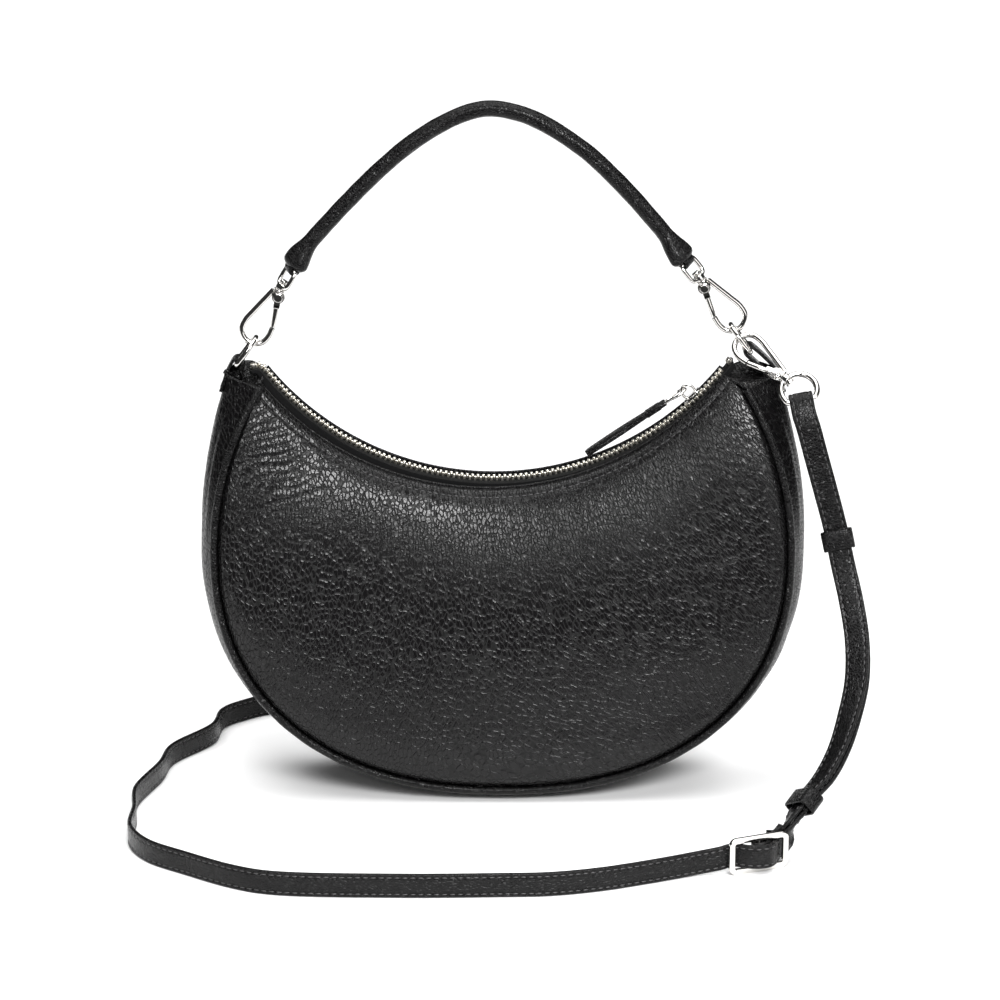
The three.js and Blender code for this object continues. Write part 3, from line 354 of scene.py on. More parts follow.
def plating(name, code, roughness, scratch):
    # nickel plate over cast zinc: mirror bright, with faint handling marks
    material, tree, shader = newMaterial(name, Base_Color=colour(code), Metallic=1.0)
    place = addNode(tree, "TexCoord").outputs["Object"]
    marks = addNode(tree, "TexNoise", {"Vector": place, "Scale": 1 / scratch, "Detail": 2.0})
    rough = addNode(tree, "MapRange", {
        "Value": marks.outputs["Fac"], "From Min": 0.3, "From Max": 0.7,
        "To Min": roughness, "To Max": roughness * 1.8})
    bump = addNode(tree, "Bump", {"Height": marks.outputs["Fac"], "Distance": 0.002 * mm, "Strength": 0.4})
    tree.links.new(rough.outputs["Result"], shader.inputs["Roughness"])
    tree.links.new(bump.outputs["Normal"], shader.inputs["Normal"])
    return material


def woven(name, dark, light, thread, depth):
    # twill threads crossing at right angles, matt
    material, tree, shader = newMaterial(name, Roughness=0.9, Specular_IOR_Level=0.2)
    place = addNode(tree, "TexCoord").outputs["Object"]
    warp = addNode(tree, "TexWave", {
        "Vector": place, "Scale": 0.5 / thread, "Distortion": 0.6}, wave_type="BANDS", bands_direction="X")
    weft = addNode(tree, "TexWave", {
        "Vector": place, "Scale": 0.5 / thread, "Distortion": 0.6}, wave_type="BANDS", bands_direction="Z")
    cross = addNode(tree, "Math", {0: warp.outputs["Fac"], 1: weft.outputs["Fac"]}, operation="MAXIMUM")
    tone = addNode(tree, "Mix", {
        "Factor": cross.outputs[0], "A": colour(dark), "B": colour(light)}, data_type="RGBA")
    bump = addNode(tree, "Bump", {"Height": cross.outputs[0], "Distance": depth, "Strength": 0.7})
    tree.links.new(tone.outputs["Result"], shader.inputs["Base Color"])
    tree.links.new(bump.outputs["Normal"], shader.inputs["Normal"])
    return material


def threadMaterial():
    # bonded nylon thread: dark grey, slightly shiny against the black hide
    material, tree, shader = newMaterial("bondedThread", Roughness=0.38, Specular_IOR_Level=0.6)
    place = addNode(tree, "TexCoord").outputs["Object"]
    twist = addNode(tree, "TexNoise", {"Vector": place, "Scale": 1 / (0.3 * mm), "Detail": 1.0})
    tone = addNode(tree, "Mix", {
        "Factor": twist.outputs["Fac"], "A": colour("#1c1b1c"), "B": colour("#464546")}, data_type="RGBA")
    tree.links.new(tone.outputs["Result"], shader.inputs["Base Color"])
    return material


def boardMaterial():
    # grey-brown fibre board, matt, flecked
    material, tree, shader = newMaterial("fibreBoard", Roughness=0.9)
    place = addNode(tree, "TexCoord").outputs["Object"]
    flecks = addNode(tree, "TexNoise", {"Vector": place, "Scale": 1 / (1.2 * mm), "Detail": 5.0})
    tone = addNode(tree, "Mix", {
        "Factor": flecks.outputs["Fac"], "A": colour("#6d5f4b"), "B": colour("#9b8b71")}, data_type="RGBA")
    tree.links.new(tone.outputs["Result"], shader.inputs["Base Color"])
    return material


def floorMaterial():
    # matt white paper sweep
    material, tree, shader = newMaterial("paperSweep", Roughness=0.95, Specular_IOR_Level=0.1)
    place = addNode(tree, "TexCoord").outputs["Object"]
    fibres = addNode(tree, "TexNoise", {"Vector": place, "Scale": 40.0, "Detail": 2.0})
    tone = addNode(tree, "Mix", {
        "Factor": fibres.outputs["Fac"], "A": colour("#f4f4f4"), "B": colour("#f8f8f8")}, data_type="RGBA")
    tree.links.new(tone.outputs["Result"], shader.inputs["Base Color"])
    return material


finishes = dict(
    pebbled=(pebbledLeather("pebbledCowhide", 0.36), "pebbled_leather"),
    # the sides take a copy of the same leather with less shine: painted shade that darkens their reflection of the
    # bright floor
    shadedSide=(pebbledLeather("pebbledCowhideShadedSide", 0.16), "pebbled_leather"),
    smooth=(smoothLeather(), "smooth_leather"),
    thread=(threadMaterial(), "smooth_leather"),
    lining=(woven("cottonLining", "#1c1c20", "#34343a", 0.5 * mm, 0.1 * mm), "lining_fabric"),
    core=(woven("cottonCord", "#8b8577", "#c9c2b2", 0.9 * mm, 0.3 * mm), "core_cord"),
    board=(boardMaterial(), "stiffener_board"),
    tape=(woven("zipTapeTwill", "#030303", "#0b0b0c", 0.45 * mm, 0.12 * mm), "zip_tape_fabric"),
    teeth=(plating("zipNickel", "#dedad0", 0.2, 0.8 * mm), "zip_nickel"),
    nickel=(plating("polishedNickel", "#dddbd8", 0.07, 1.5 * mm), "polished_nickel"))


# shape helpers

def finishPiece(name, mesh, finish, body, replaced=(), sharp=45, wall=0.0):
    data = bpy.data.meshes.new(name)
    mesh.to_mesh(data)
    mesh.free()
    data.shade_smooth()
    data.set_sharp_from_angle(angle=math.radians(sharp))
    piece = bpy.data.objects.new(name, data)
    bpy.context.scene.collection.objects.link(piece)
    material, slot = finishes[finish]
    data.materials.append(material)
    if wall:
        # the modelled surface is the outside of the wall
        solidify = piece.modifiers.new("wall", "SOLIDIFY")
        solidify.thickness = wall
        solidify.offset = -1
    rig.ride(piece, body)
    if replaced:
        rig.replaces(piece, *replaced)
    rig.slot(piece, slot)
    return piece


def addSkin(mesh, place, uSteps, vSteps):
    # a grid laid on place(u, v)
    made = bmesh.ops.create_grid(mesh, x_segments=uSteps, y_segments=vSteps, size=0.5)
    for vertex in made["verts"]:
        vertex.co = place(vertex.co.x + 0.5, vertex.co.y + 0.5)
    return made["verts"]


def addSweep(mesh, frames, section, closed=False, capped=True):
    # section(share) gives the closed outline at a share of the way, as (along side, along face)
    last = len(frames) if closed else len(frames) - 1
    outlines = [section(k / max(last, 1)) for k in range(len(frames))]
    spots = len(outlines[0])

    def place(u, v):
        ring = round(u * last) % len(frames)
        a, b = outlines[ring][round(v * spots) % spots]
        at, side, face = frames[ring]
        return at + a * side + b * face

    verts = addSkin(mesh, place, last, spots)
    bmesh.ops.remove_doubles(mesh, verts=verts, dist=1e-7)
    if capped and not closed:
        edges = [edge for edge in mesh.edges if edge.is_boundary]
        bmesh.ops.holes_fill(mesh, edges=edges, sides=0)


def circle(radius, count):
    turns = [2 * math.pi * k / count for k in range(count)]
    return [(radius * math.cos(turn), radius * math.sin(turn)) for turn in turns]


def roundedOutline(halfA, halfB, radius, perCorner=4):
    corners = [(1, 1, 0), (-1, 1, 1), (-1, -1, 2), (1, -1, 3)]
    points = []
    for signA, signB, quarter in corners:
        for k in range(perCorner + 1):
            turn = (quarter + k / perCorner) * math.pi / 2
            points.append((
                signA * (halfA - radius) + radius * math.cos(turn),
                signB * (halfB - radius) + radius * math.sin(turn)))
    return points


def planeFrames(points, normal, closed=False):
    # frames along points in a plane: side lies in the plane, face is its normal
    frames = []
    count = len(points)
    for k, at in enumerate(points):
        ahead = points[(k + 1) % count] if closed or k + 1 < count else at
        behind = points[k - 1] if closed or k > 0 else at
        side = (ahead - behind).normalized().cross(normal).normalized()
        frames.append((at, side, normal))
    return frames


def addTube(mesh, points, radius, normal, sidesCount=14, closed=False):
    outline = circle(radius, sidesCount)
    addSweep(mesh, planeFrames(points, normal, closed), lambda share: outline, closed)


def addPost(mesh, start, end, radius, edge=0.0, sidesCount=28):
    along = end - start
    turn = along.to_track_quat("Z", "Y").to_matrix().to_4x4()
    made = bmesh.ops.create_cone(
        mesh, cap_ends=True, segments=sidesCount, radius1=radius, radius2=radius, depth=along.length,
        matrix=Matrix.Translation((start + end) / 2) @ turn)
    if edge:
        rims = {e for v in made["verts"] for e in v.link_edges
                if abs((e.verts[0].co - e.verts[1].co).dot(along.normalized())) < 1e-6}
        bmesh.ops.bevel(
            mesh, geom=list(rims), offset=edge, segments=3, profile=0.5, affect="EDGES", material=-1)


def addBlock(mesh, low, high, edge=0.0, turn=None):
    size = high - low
    matrix = Matrix.Translation((low + high) / 2) @ Matrix.Diagonal((*size, 1))
    if turn:
        matrix = turn @ matrix
    made = bmesh.ops.create_cube(mesh, size=1, matrix=matrix)
    if edge:
        edges = list({e for v in made["verts"] for e in v.link_edges})
        bmesh.ops.bevel(mesh, geom=edges, offset=edge, segments=3, profile=0.5, affect="EDGES", material=-1)


def turnOutward(mesh, outwardness):
    # an open sheet has no inside to find: its faces are turned by the sign of the sum
    mesh.normal_update()
    if sum(outwardness(face) for face in mesh.faces) < 0:
        bmesh.ops.reverse_faces(mesh, faces=mesh.faces)


def addCopies(mesh, model, matrices):
    for matrix in matrices:
        model.transform(matrix)
        mesh.from_mesh(model)
        model.transform(matrix.inverted())


def basis(at, x, y, z):
    return Matrix.Translation(at) @ Matrix((x, y, z)).transposed().to_4x4()


def splinePoint(points, t, closed=False):
    # centripetal Catmull-Rom through the points
    count = len(points)
    place = (count if closed else count - 1) * t
    first = min(int(place), count - 1 if closed else count - 2)
    share = place - first
    b, c = points[first], points[(first + 1) % count]
    a = points[first - 1] if closed or first > 0 else 2 * b - c
    d = points[(first + 2) % count] if closed or first + 2 < count else 2 * c - b
    ab, bc, cd = (max((q - p).length, 1e-9) ** 0.5 for p, q in ((a, b), (b, c), (c, d)))
    start = ((b - a) / ab - (c - a) / (ab + bc) + (c - b) / bc) * bc
    end = ((c - b) / bc - (d - b) / (bc + cd) + (d - c) / cd) * bc
    square = 3 * (c - b) - 2 * start - end
    cube = 2 * (b - c) + start + end
    return b + share * (start + share * (square + share * cube))


def evenShares(place, step, samples=3000):
    # parameters at even distances along place(t), and the whole length
    run = [0.0]
    before = place(0)
    for k in range(1, samples + 1):
        here = place(k / samples)
        run.append(run[-1] + (here - before).length)
        before = here
    count = max(2, round(run[-1] / step))
    shares = []
    k = 0
    for i in range(count + 1):
        goal = run[-1] * i / count
        while k < samples - 1 and run[k + 1] < goal:
            k += 1
        gap = max(run[k + 1] - run[k], 1e-12)
        shares.append(min(1.0, (k + min(1.0, (goal - run[k]) / gap)) / samples))
    return shares, run[-1]


def smoothLine(points, step, closed=False):
    shares, _ = evenShares(lambda t: splinePoint(points, t, closed), step)
    line = [splinePoint(points, t, closed) for t in shares]
    return line[:-1] if closed else line


def heading(line, k):
    # the direction of an open line at its point k
    return (line[min(k + 1, len(line) - 1)] - line[max(k - 1, 0)]).normalized()


def ease(x):
    x = min(1, max(0, x))
    return x * x * (3 - 2 * x)


def mix(a, b, share):
    return a + (b - a) * share


# snap hooks' frames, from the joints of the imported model

joints = {joint["name"]: joint for joint in frame["joints"]}


def hookFrame(name):
    # u towards the gate, n across the hook, w along the swivel
    swivel = joints[f"hook_{name}_swivel"]
    w = Vector(swivel["axis"]).normalized()
    n = Vector(joints[f"gate_{name}_open"]["axis"]).normalized()
    return Vector(swivel["pos_m"]), n.cross(w).normalized(), n, w


hook = dict(
    wire=1.3 * mm, rivetSide=1.2 * mm, rivetHeight=18.5 * mm, web=3 * mm, webHalf=0.9 * mm,
    cheek=2.4 * mm, cheekThickness=0.9 * mm, pin=0.8 * mm, pinHead=2 * mm, pinHeadThickness=0.7 * mm,
    shank=1.2 * mm, collarTop=21.9 * mm, collarHeight=1.0 * mm, collar=2.5 * mm, boss=2.8 * mm,
    bossRadius=2.5 * mm, knob=2.1 * mm, knobHeight=1.6 * mm, gateTip=5.1 * mm, gap=0.3 * mm,
    stirrupHalf=5.2 * mm, stirrupHeight=10 * mm, stirrupWire=1.1 * mm,
    stirrupTurns=dict(left=math.radians(-64), right=math.radians(50)), handleTurn=math.radians(45),
    eye=8.1 * mm, eyeFlat=5 * mm, eyeWire=1.4 * mm)
bossMiddle = hook["collarTop"] + hook["gap"] + hook["boss"] / 2
barDirections = dict(near=Vector((0.98, 0, 0.19)), far=Vector((0.17, 0.98, 0)))


def strapBar(name):
    # the straight side of a strap hook's eye, where the strap folds
    centre, u, n, w = hookFrame(name)
    bar = barDirections[name]
    across = bar - bar.dot(w) * w
    turn = math.atan2(across.dot(n), across.dot(u))
    tilt = math.atan2(bar.dot(w), across.length)
    across.normalize()
    outward = math.cos(tilt) * w - math.sin(tilt) * across
    direction = math.cos(tilt) * across + math.sin(tilt) * w
    middle = centre + (bossMiddle + hook["eye"]) * w + hook["eyeFlat"] * outward
    return dict(turn=turn, tilt=tilt, middle=middle, outward=outward, direction=direction)


# strap

strap = dict(
    width=11 * mm, thickness=2 * mm, stack=1.3 * mm, sewnEnd=18 * mm, step=2 * mm, stitchInset=1.7 * mm,
    stitch=2.3 * mm, stitchPitch=3.4 * mm, thread=0.34 * mm,
    keeperLength=9 * mm, keeperWall=1.5 * mm, keeperGaps=dict(keeper_upper=0.5 * mm, keeper_lower=1.1 * mm),
    keeperCrease=0.45 * mm)
buckle = dict(length=29 * mm, bar=2.7 * mm, centreBar=2 * mm, thickness=2 * mm, corner=3.4 * mm)
buckleHeight = strap["width"] + 6 * mm
buckleCentre = Vector((0.1125, -0.11925, buckleHeight / 2))
buckleAlong = Vector((-0.917, -0.398, 0)).normalized()
buckleFront = Vector((0.398, -0.917, 0)).normalized()
nearBar = strapBar("near")
farBar = strapBar("far")


def row(x, y, z, width=(0, 0, 1)):
    return Vector((x, y, z)), Vector(width).normalized()


def atBuckle(along, front, rise=0.0):
    return buckleCentre + along * mm * buckleAlong + front * mm * buckleFront + rise * mm * up, up.copy()


# the middle of the doubled stretch, from the near eye down to the buckle's centre bar
doubledRows = [
    (nearBar["middle"] + 7 * mm * nearBar["outward"], nearBar["direction"]),
    row(0.1383, -0.0314, 0.1796, (0.98, 0, 0.2)),
    row(0.1426, -0.0320, 0.1646, (0.98, 0, 0.2)),
    row(0.1469, -0.0326, 0.1497, (0.98, 0, 0.2)),
    row(0.1513, -0.0344, 0.1337, (0.97, -0.05, 0.2)),
    row(0.1550, -0.0384, 0.1168, (0.96, -0.12, 0.18)),
    row(0.1584, -0.0442, 0.1019, (0.94, -0.2, 0.17)),
    row(0.1608, -0.0520, 0.0854, (0.91, -0.28, 0.17)),
    row(0.1603, -0.0610, 0.0693, (0.85, -0.38, 0.18)),
    row(0.1565, -0.0700, 0.0556, (0.75, -0.5, 0.2)),
    row(0.1509, -0.0800, 0.0425, (0.62, -0.64, 0.25)),
    row(0.1435, -0.0900, 0.0328, (0.6, -0.65, 0.3)),
    row(0.1357, -0.0980, 0.0267, (0.58, -0.63, 0.42)),
    row(0.1304, -0.1036, 0.0214, (0.5, -0.52, 0.6)),
    row(0.1263, -0.1076, 0.0154, (0.25, -0.25, 0.9)),
    atBuckle(-13.8, -5.2, 0.8),
    atBuckle(-10.8, -3.7, 0.3),
    atBuckle(-8.2, -1.1),
    atBuckle(-5.5, 1.8),
    atBuckle(-3, 3.5),
    atBuckle(0.3, 3.6),
]

# from the buckle along the ground, on edge, round the left of the bag and behind it to the far eye
onEdge = strap["width"] / 2 + 0.1 * mm
groundRows = [
    atBuckle(4.2, 3.7),
    atBuckle(7.4, 1.1),
    atBuckle(10.4, -2.1),
    atBuckle(13.2, -3.2, -0.4),
    atBuckle(16, -3.4, -1),
    row(0.0867, -0.1245, 0.0062),
    *[row(x, y, onEdge) for x, y in [
        (0.0642, -0.134), (0.0421, -0.143), (0.0204, -0.1484), (-0.0012, -0.1496), (-0.0443, -0.1504),
        (-0.0998, -0.147), (-0.1167, -0.14), (-0.1389, -0.124), (-0.1574, -0.1085), (-0.167, -0.09),
        (-0.168, -0.065), (-0.170, -0.04), (-0.162, -0.005), (-0.159, 0.018), (-0.142, 0.049),
        (-0.1385, 0.073), (-0.126, 0.088), (-0.104, 0.105), (-0.092, 0.135), (-0.084, 0.165),
        (-0.068, 0.182), (-0.052, 0.168), (-0.047, 0.135), (-0.04, 0.11), (-0.026, 0.1), (-0.01, 0.107)]],
    row(0.008, 0.1155, 0.0058, (0.12, 0.7, 0.7)),
]


def routeFrame(rows, t):
    points = [at for at, _ in rows]
    last = len(rows) - 1
    first = min(int(t * last), last - 1)
    tangent = (splinePoint(points, min(t + 1e-4, 1)) - splinePoint(points, max(t - 1e-4, 0))).normalized()
    width = rows[first][1].lerp(rows[first + 1][1], t * last - first)
    width = (width - width.dot(tangent) * tangent).normalized()
    return splinePoint(points, t), width, tangent.cross(width)


def layer(rows, offset):
    last = len(rows) - 1
    moved = []
    for k, (_, width) in enumerate(rows):
        at, _, face = routeFrame(rows, k / last)
        moved.append((at + offset * face, width))
    return moved


def fold(middle, start, through, radius, width):
    # half a turn round a bar
    turns = [math.pi * k / 6 for k in range(7)]
    return [(middle + radius * (math.cos(turn) * start + math.sin(turn) * through), width) for turn in turns]


def mainRows():
    face = farBar["direction"].cross(farBar["outward"]).normalized()
    radius = hook["eyeWire"] + hook["gap"] + strap["thickness"] / 2

    def beside(distance, offset):
        return farBar["middle"] + distance * farBar["outward"] + offset * face, farBar["direction"]

    return [
        *layer(doubledRows, -strap["stack"]), *groundRows,
        beside(strap["sewnEnd"], -strap["stack"]), beside(strap["sewnEnd"] / 2, -strap["stack"]),
        *fold(farBar["middle"], -face, -farBar["outward"], radius, farBar["direction"]),
        beside(strap["sewnEnd"] / 2, strap["stack"]), beside(strap["sewnEnd"], strap["stack"]),
    ]


def returnRows():
    face = nearBar["outward"].cross(nearBar["direction"]).normalized()
    eyeRadius = hook["eyeWire"] + hook["gap"] + strap["thickness"] / 2
    barRadius = buckle["thickness"] / 2 + hook["gap"] + strap["thickness"] / 2
    barMiddle = buckleCentre + 0.3 * mm * buckleAlong
    tip = layer(doubledRows, 3 * strap["stack"])[-7:-5][::-1]
    return [
        *fold(nearBar["middle"], -face, -nearBar["outward"], eyeRadius, nearBar["direction"]),
        *layer(doubledRows, strap["stack"])[:-1],
        *fold(barMiddle, buckleFront, buckleAlong, barRadius, up.copy()),
        atBuckle(-4, -2.9), *tip,
    ]


def strapSection():
    # turned edges with a groove along each row of stitches, the middle a little raised
    half = strap["width"] / 2
    groove = half - strap["stitchInset"]
    stops = [half, half - 0.12 * mm, half - 0.4 * mm, half - 0.9 * mm, groove + 0.35 * mm, groove,
             groove - 0.35 * mm, groove - 1.0 * mm, groove - 2.2 * mm, 0]

    def height(x):
        edge = min(1, (half - x) / (0.8 * mm))
        rounded = math.sqrt(max(0, 1 - (1 - edge) ** 2))
        dip = 0.32 * mm * math.exp(-((x - groove) / (0.4 * mm)) ** 2)
        return strap["thickness"] / 2 * rounded - dip

    upper = [(x, height(x)) for x in stops] + [(-x, height(x)) for x in stops[-2::-1]]
    return upper + [(a, -b) for a, b in upper[-2:0:-1]]


def addStrap(name, rows, roundEnd):
    points = [at for at, _ in rows]
    shares, length = evenShares(lambda t: splinePoint(points, t), strap["step"], 6000)
    frames = [routeFrame(rows, t) for t in shares]
    outline = strapSection()

    def section(share):
        left = length * (1 - share) if roundEnd else length
        narrow = math.sqrt(max(0.02, 1 - max(0, 1 - left / (0.45 * strap["width"])) ** 2))
        wave = 0.16 * mm * noise.noise(Vector((share * length * 90, 3.1, 0)))
        return [(a * narrow, b + (wave if abs(a) < strap["width"] / 2 - 1 * mm else 0)) for a, b in outline]

    mesh = bmesh.new()
    addSweep(mesh, frames, section)
    bmesh.ops.recalc_face_normals(mesh, faces=mesh.faces)
    piece = finishPiece(f"{name}_leather", mesh, "smooth", "bag", [name], sharp=60)
    return piece, frames, length


def stitchModel(length, radius):
    mesh = bmesh.new()
    bmesh.ops.create_uvsphere(mesh, u_segments=6, v_segments=5, radius=1)
    bmesh.ops.rotate(mesh, verts=mesh.verts, matrix=Matrix.Rotation(math.pi / 2, 3, "Y"))
    bmesh.ops.scale(mesh, verts=mesh.verts, vec=(length / 2, radius, radius))
    model = bpy.data.meshes.new("stitch")
    mesh.to_mesh(model)
    mesh.free()
    return model


def addStrapStitches(name, frames, length, start, stop):
    model = stitchModel(strap["stitch"], strap["thread"])
    mesh = bmesh.new()
    count = int((stop - start) / strap["stitchPitch"])
    inset = strap["width"] / 2 - strap["stitchInset"]
    height = strap["thickness"] / 2 - 0.22 * mm
    for k in range(count):
        place = (start + (k + 0.5) * strap["stitchPitch"]) / length * (len(frames) - 1)
        first = min(int(place), len(frames) - 2)
        here, there = frames[first], frames[first + 1]
        at = here[0].lerp(there[0], place - first)
        along = (there[0] - here[0]).normalized()
        side = here[1]
        face = along.cross(side).normalized()
        for across in (-inset, inset):
            for out in (-height, height):
                addCopies(mesh, model, [basis(at + across * side + out * face, along, side, face)])
    return finishPiece(f"{name}_stitches", mesh, "thread", "bag", sharp=180)


addCamera()
mainPiece, mainFrames, mainLength = addStrap("strap_main", mainRows(), True)
returnPiece, returnFrames, returnLength = addStrap("strap_return", returnRows(), True)
mainStitches = addStrapStitches("strap_main", mainFrames, mainLength, 4 * mm, mainLength - 6 * mm)
returnStitches = addStrapStitches("strap_return", returnFrames, returnLength, 6 * mm, returnLength - 6 * mm)
print("strap:", round(mainLength, 3), "and", round(returnLength, 3), "m")


# keepers and buckle

def addKeeper(name, body):
    low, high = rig.box(name)
    middle = (low + high) / 2
    points = [at for at, _ in doubledRows]
    nearest = min((k / 2000 for k in range(2001)), key=lambda t: (splinePoint(points, t) - middle).length)
    at, width, face = routeFrame(doubledRows, nearest)
    along = width.cross(face)
    wall = strap["keeperWall"]
    gap = strap["keeperGaps"][name]
    halfA = strap["width"] / 2 + gap + wall / 2
    halfB = strap["stack"] + strap["thickness"] / 2 + gap + wall / 2
    corners = roundedOutline(halfA, halfB, 2.4 * mm, 6)
    ring = [at + a * width + b * face for a, b in corners]
    frames = [(place, along, out) for place, out, _ in planeFrames(ring, along, True)]

    def section(share):
        # a soft crease runs round the band
        crease = strap["keeperCrease"] * noise.noise(Vector((share * 9, middle.z * 100, 0)))
        outline = roundedOutline(strap["keeperLength"] / 2, wall / 2, 0.6 * mm, 3)
        crown = [0.25 * mm * math.cos(a / strap["keeperLength"] * 2 * math.pi) if b > 0 else 0
                 for a, b in outline]
        return [(a + crease, b + rise) for (a, b), rise in zip(outline, crown)]

    mesh = bmesh.new()
    addSweep(mesh, frames, section, closed=True)
    bmesh.ops.recalc_face_normals(mesh, faces=mesh.faces)
    return finishPiece(f"{name}_leather", mesh, "smooth", body, [name], sharp=60)


def addBuckle():
    mesh = bmesh.new()
    halfLength = buckle["length"] / 2 - buckle["bar"] / 2
    halfHeight = buckleHeight / 2 - buckle["bar"] / 2
    path = roundedOutline(halfLength, halfHeight, buckle["corner"] - buckle["bar"] / 2, 8)
    ring = [buckleCentre + a * buckleAlong + b * up for a, b in path]
    outline = roundedOutline(buckle["bar"] / 2, buckle["thickness"] / 2, 0.45 * mm, 3)
    addSweep(mesh, planeFrames(ring, buckleFront, True), lambda share: outline, closed=True)
    reach = (halfHeight - 0.2 * mm) * up
    addPost(mesh, buckleCentre - reach, buckleCentre + reach, buckle["centreBar"] / 2)
    bmesh.ops.recalc_face_normals(mesh, faces=mesh.faces)
    return finishPiece("buckle_frame", mesh, "nickel", "bag", ["buckle"])


keeperPieces = [addKeeper("keeper_upper", "keeper_top"), addKeeper("keeper_lower", "keeper_bottom")]
bucklePiece = addBuckle()
print("keepers and buckle")


# snap hooks

armLine = [(-2.4, 20.3), (-3.7, 14.5), (-5.2, 7.8), (-6.4, 1.6), (-5.7, -3.1), (-3.2, -5.65), (0, -6.5),
           (3.2, -5.65), (5.7, -3.1), (6.5, 0.4), (6.1, 4.6)]
across = Vector((0, 1, 0))


def rivetAt(y=0.0):
    return Vector((hook["rivetSide"], y, hook["rivetHeight"]))


def finishHookPart(name, part, mesh, body, place):
    centre, u, n, w = hookFrame(place)
    mesh.transform(basis(centre, u, n, w))
    bmesh.ops.recalc_face_normals(mesh, faces=mesh.faces)
    return finishPiece(f"{name}_{part}_plated", mesh, "nickel", body, [f"{name}_{part}"])


def addHookBody(name, place):
    mesh = bmesh.new()
    line = smoothLine([Vector((x * mm, 0, z * mm)) for x, z in armLine], 0.7 * mm)
    addTube(mesh, line, hook["wire"], across, 16)
    half = hook["webHalf"]
    addPost(mesh, rivetAt(-half), rivetAt(half), hook["web"], 0.25 * mm, 40)
    addBlock(
        mesh, Vector((-2.9 * mm, -half, 17.5 * mm)), Vector((2.4 * mm, half, hook["collarTop"] - 0.5 * mm)),
        0.35 * mm)
    top = hook["collarTop"]
    addPost(mesh, Vector((0, 0, top - hook["collarHeight"])), Vector((0, 0, top)), hook["collar"], 0.25 * mm)
    knobBase = bossMiddle + hook["boss"] / 2 + hook["gap"]
    addPost(mesh, Vector((0, 0, top - 0.4 * mm)), Vector((0, 0, knobBase + 0.4 * mm)), hook["shank"])
    knobTop = knobBase + hook["knobHeight"]
    addPost(mesh, Vector((0, 0, knobBase)), Vector((0, 0, knobTop)), hook["knob"], 0.5 * mm)
    return finishHookPart(name, "body", mesh, f"hook_{place}", place)


def addHookGate(name, place):
    mesh = bmesh.new()
    tip = Vector((6.0 * mm, 0, hook["gateTip"]))
    down = (tip - rivetAt()).normalized()
    inner = hook["webHalf"] + hook["gap"]
    outer = inner + hook["cheekThickness"]
    start = hook["web"] + hook["gap"]
    lean = Matrix.Translation(rivetAt()) @ Matrix.Rotation(-math.atan2(down.x, -down.z), 4, "Y")
    for sign in (-1, 1):
        addPost(mesh, rivetAt(sign * inner), rivetAt(sign * outer), hook["cheek"], 0.2 * mm, 36)
        faces = sorted((sign * inner, sign * outer))
        addBlock(
            mesh, Vector((-1.5 * mm, faces[0], -start - 1.2 * mm)), Vector((1.5 * mm, faces[1], 0)),
            0.2 * mm, lean)
    addBlock(
        mesh, Vector((-1.5 * mm, -outer, -start - 1.8 * mm)), Vector((1.5 * mm, outer, -start)),
        0.3 * mm, lean)
    addPost(mesh, rivetAt() + (start + 0.6 * mm) * down, tip, hook["wire"] * 0.96, 0.25 * mm)
    return finishHookPart(name, "gate", mesh, f"gate_{place}", place)


def addHookPin(name, place):
    mesh = bmesh.new()
    face = hook["webHalf"] + 2 * hook["gap"] + hook["cheekThickness"]
    addPost(mesh, rivetAt(-face), rivetAt(face), hook["pin"])
    for sign in (-1, 1):
        addPost(
            mesh, rivetAt(sign * face), rivetAt(sign * (face + hook["pinHeadThickness"])), hook["pinHead"],
            0.3 * mm, 32)
    return finishHookPart(name, "pin", mesh, f"hook_{place}", place)


def addBoss(mesh):
    # the swivel's bored barrel: its wall is an outline turned about the shank
    low, high = bossMiddle - hook["boss"] / 2, bossMiddle + hook["boss"] / 2
    bore = hook["shank"] + hook["gap"]
    middle = (bore + hook["bossRadius"]) / 2
    turns = [2 * math.pi * k / 32 for k in range(32)]
    frames = [
        (Vector((middle * math.cos(turn), middle * math.sin(turn), (low + high) / 2)),
         Vector((math.cos(turn), math.sin(turn), 0)), up)
        for turn in turns]
    wall = roundedOutline((hook["bossRadius"] - bore) / 2, (high - low) / 2, 0.35 * mm, 3)
    addSweep(mesh, frames, lambda share: wall, closed=True)


def superLoop(halfA, halfB, squareness, count):
    loop = []
    for k in range(count):
        turn = 2 * math.pi * k / count
        c, s = math.cos(turn), math.sin(turn)
        loop.append((
            math.copysign(halfA * abs(c) ** squareness, c), math.copysign(halfB * abs(s) ** squareness, s)))
    return loop


def evenLoop(points, count):
    # the same closed line with its points evenly spread, its sharp corners eased
    line = smoothLine(points, sum((p - q).length for p, q in zip(points, points[1:])) / count, True)
    for _ in range(2):
        line = [(line[k - 1] + 2 * p + line[(k + 1) % len(line)]) / 4 for k, p in enumerate(line)]
    return line


def addStirrup(name, place):
    mesh = bmesh.new()
    middle = bossMiddle + hook["stirrupHeight"] / 2
    loop = superLoop(hook["stirrupHalf"], hook["stirrupHeight"] / 2, 0.5, 64)
    line = evenLoop([Vector((x, 0, middle + z)) for x, z in loop], 72)
    addTube(mesh, line, hook["stirrupWire"], across, 14, True)
    addBoss(mesh)
    mesh.transform(Matrix.Rotation(hook["stirrupTurns"][place], 4, "Z"))
    return finishHookPart(name, "eye", mesh, "handle", place)


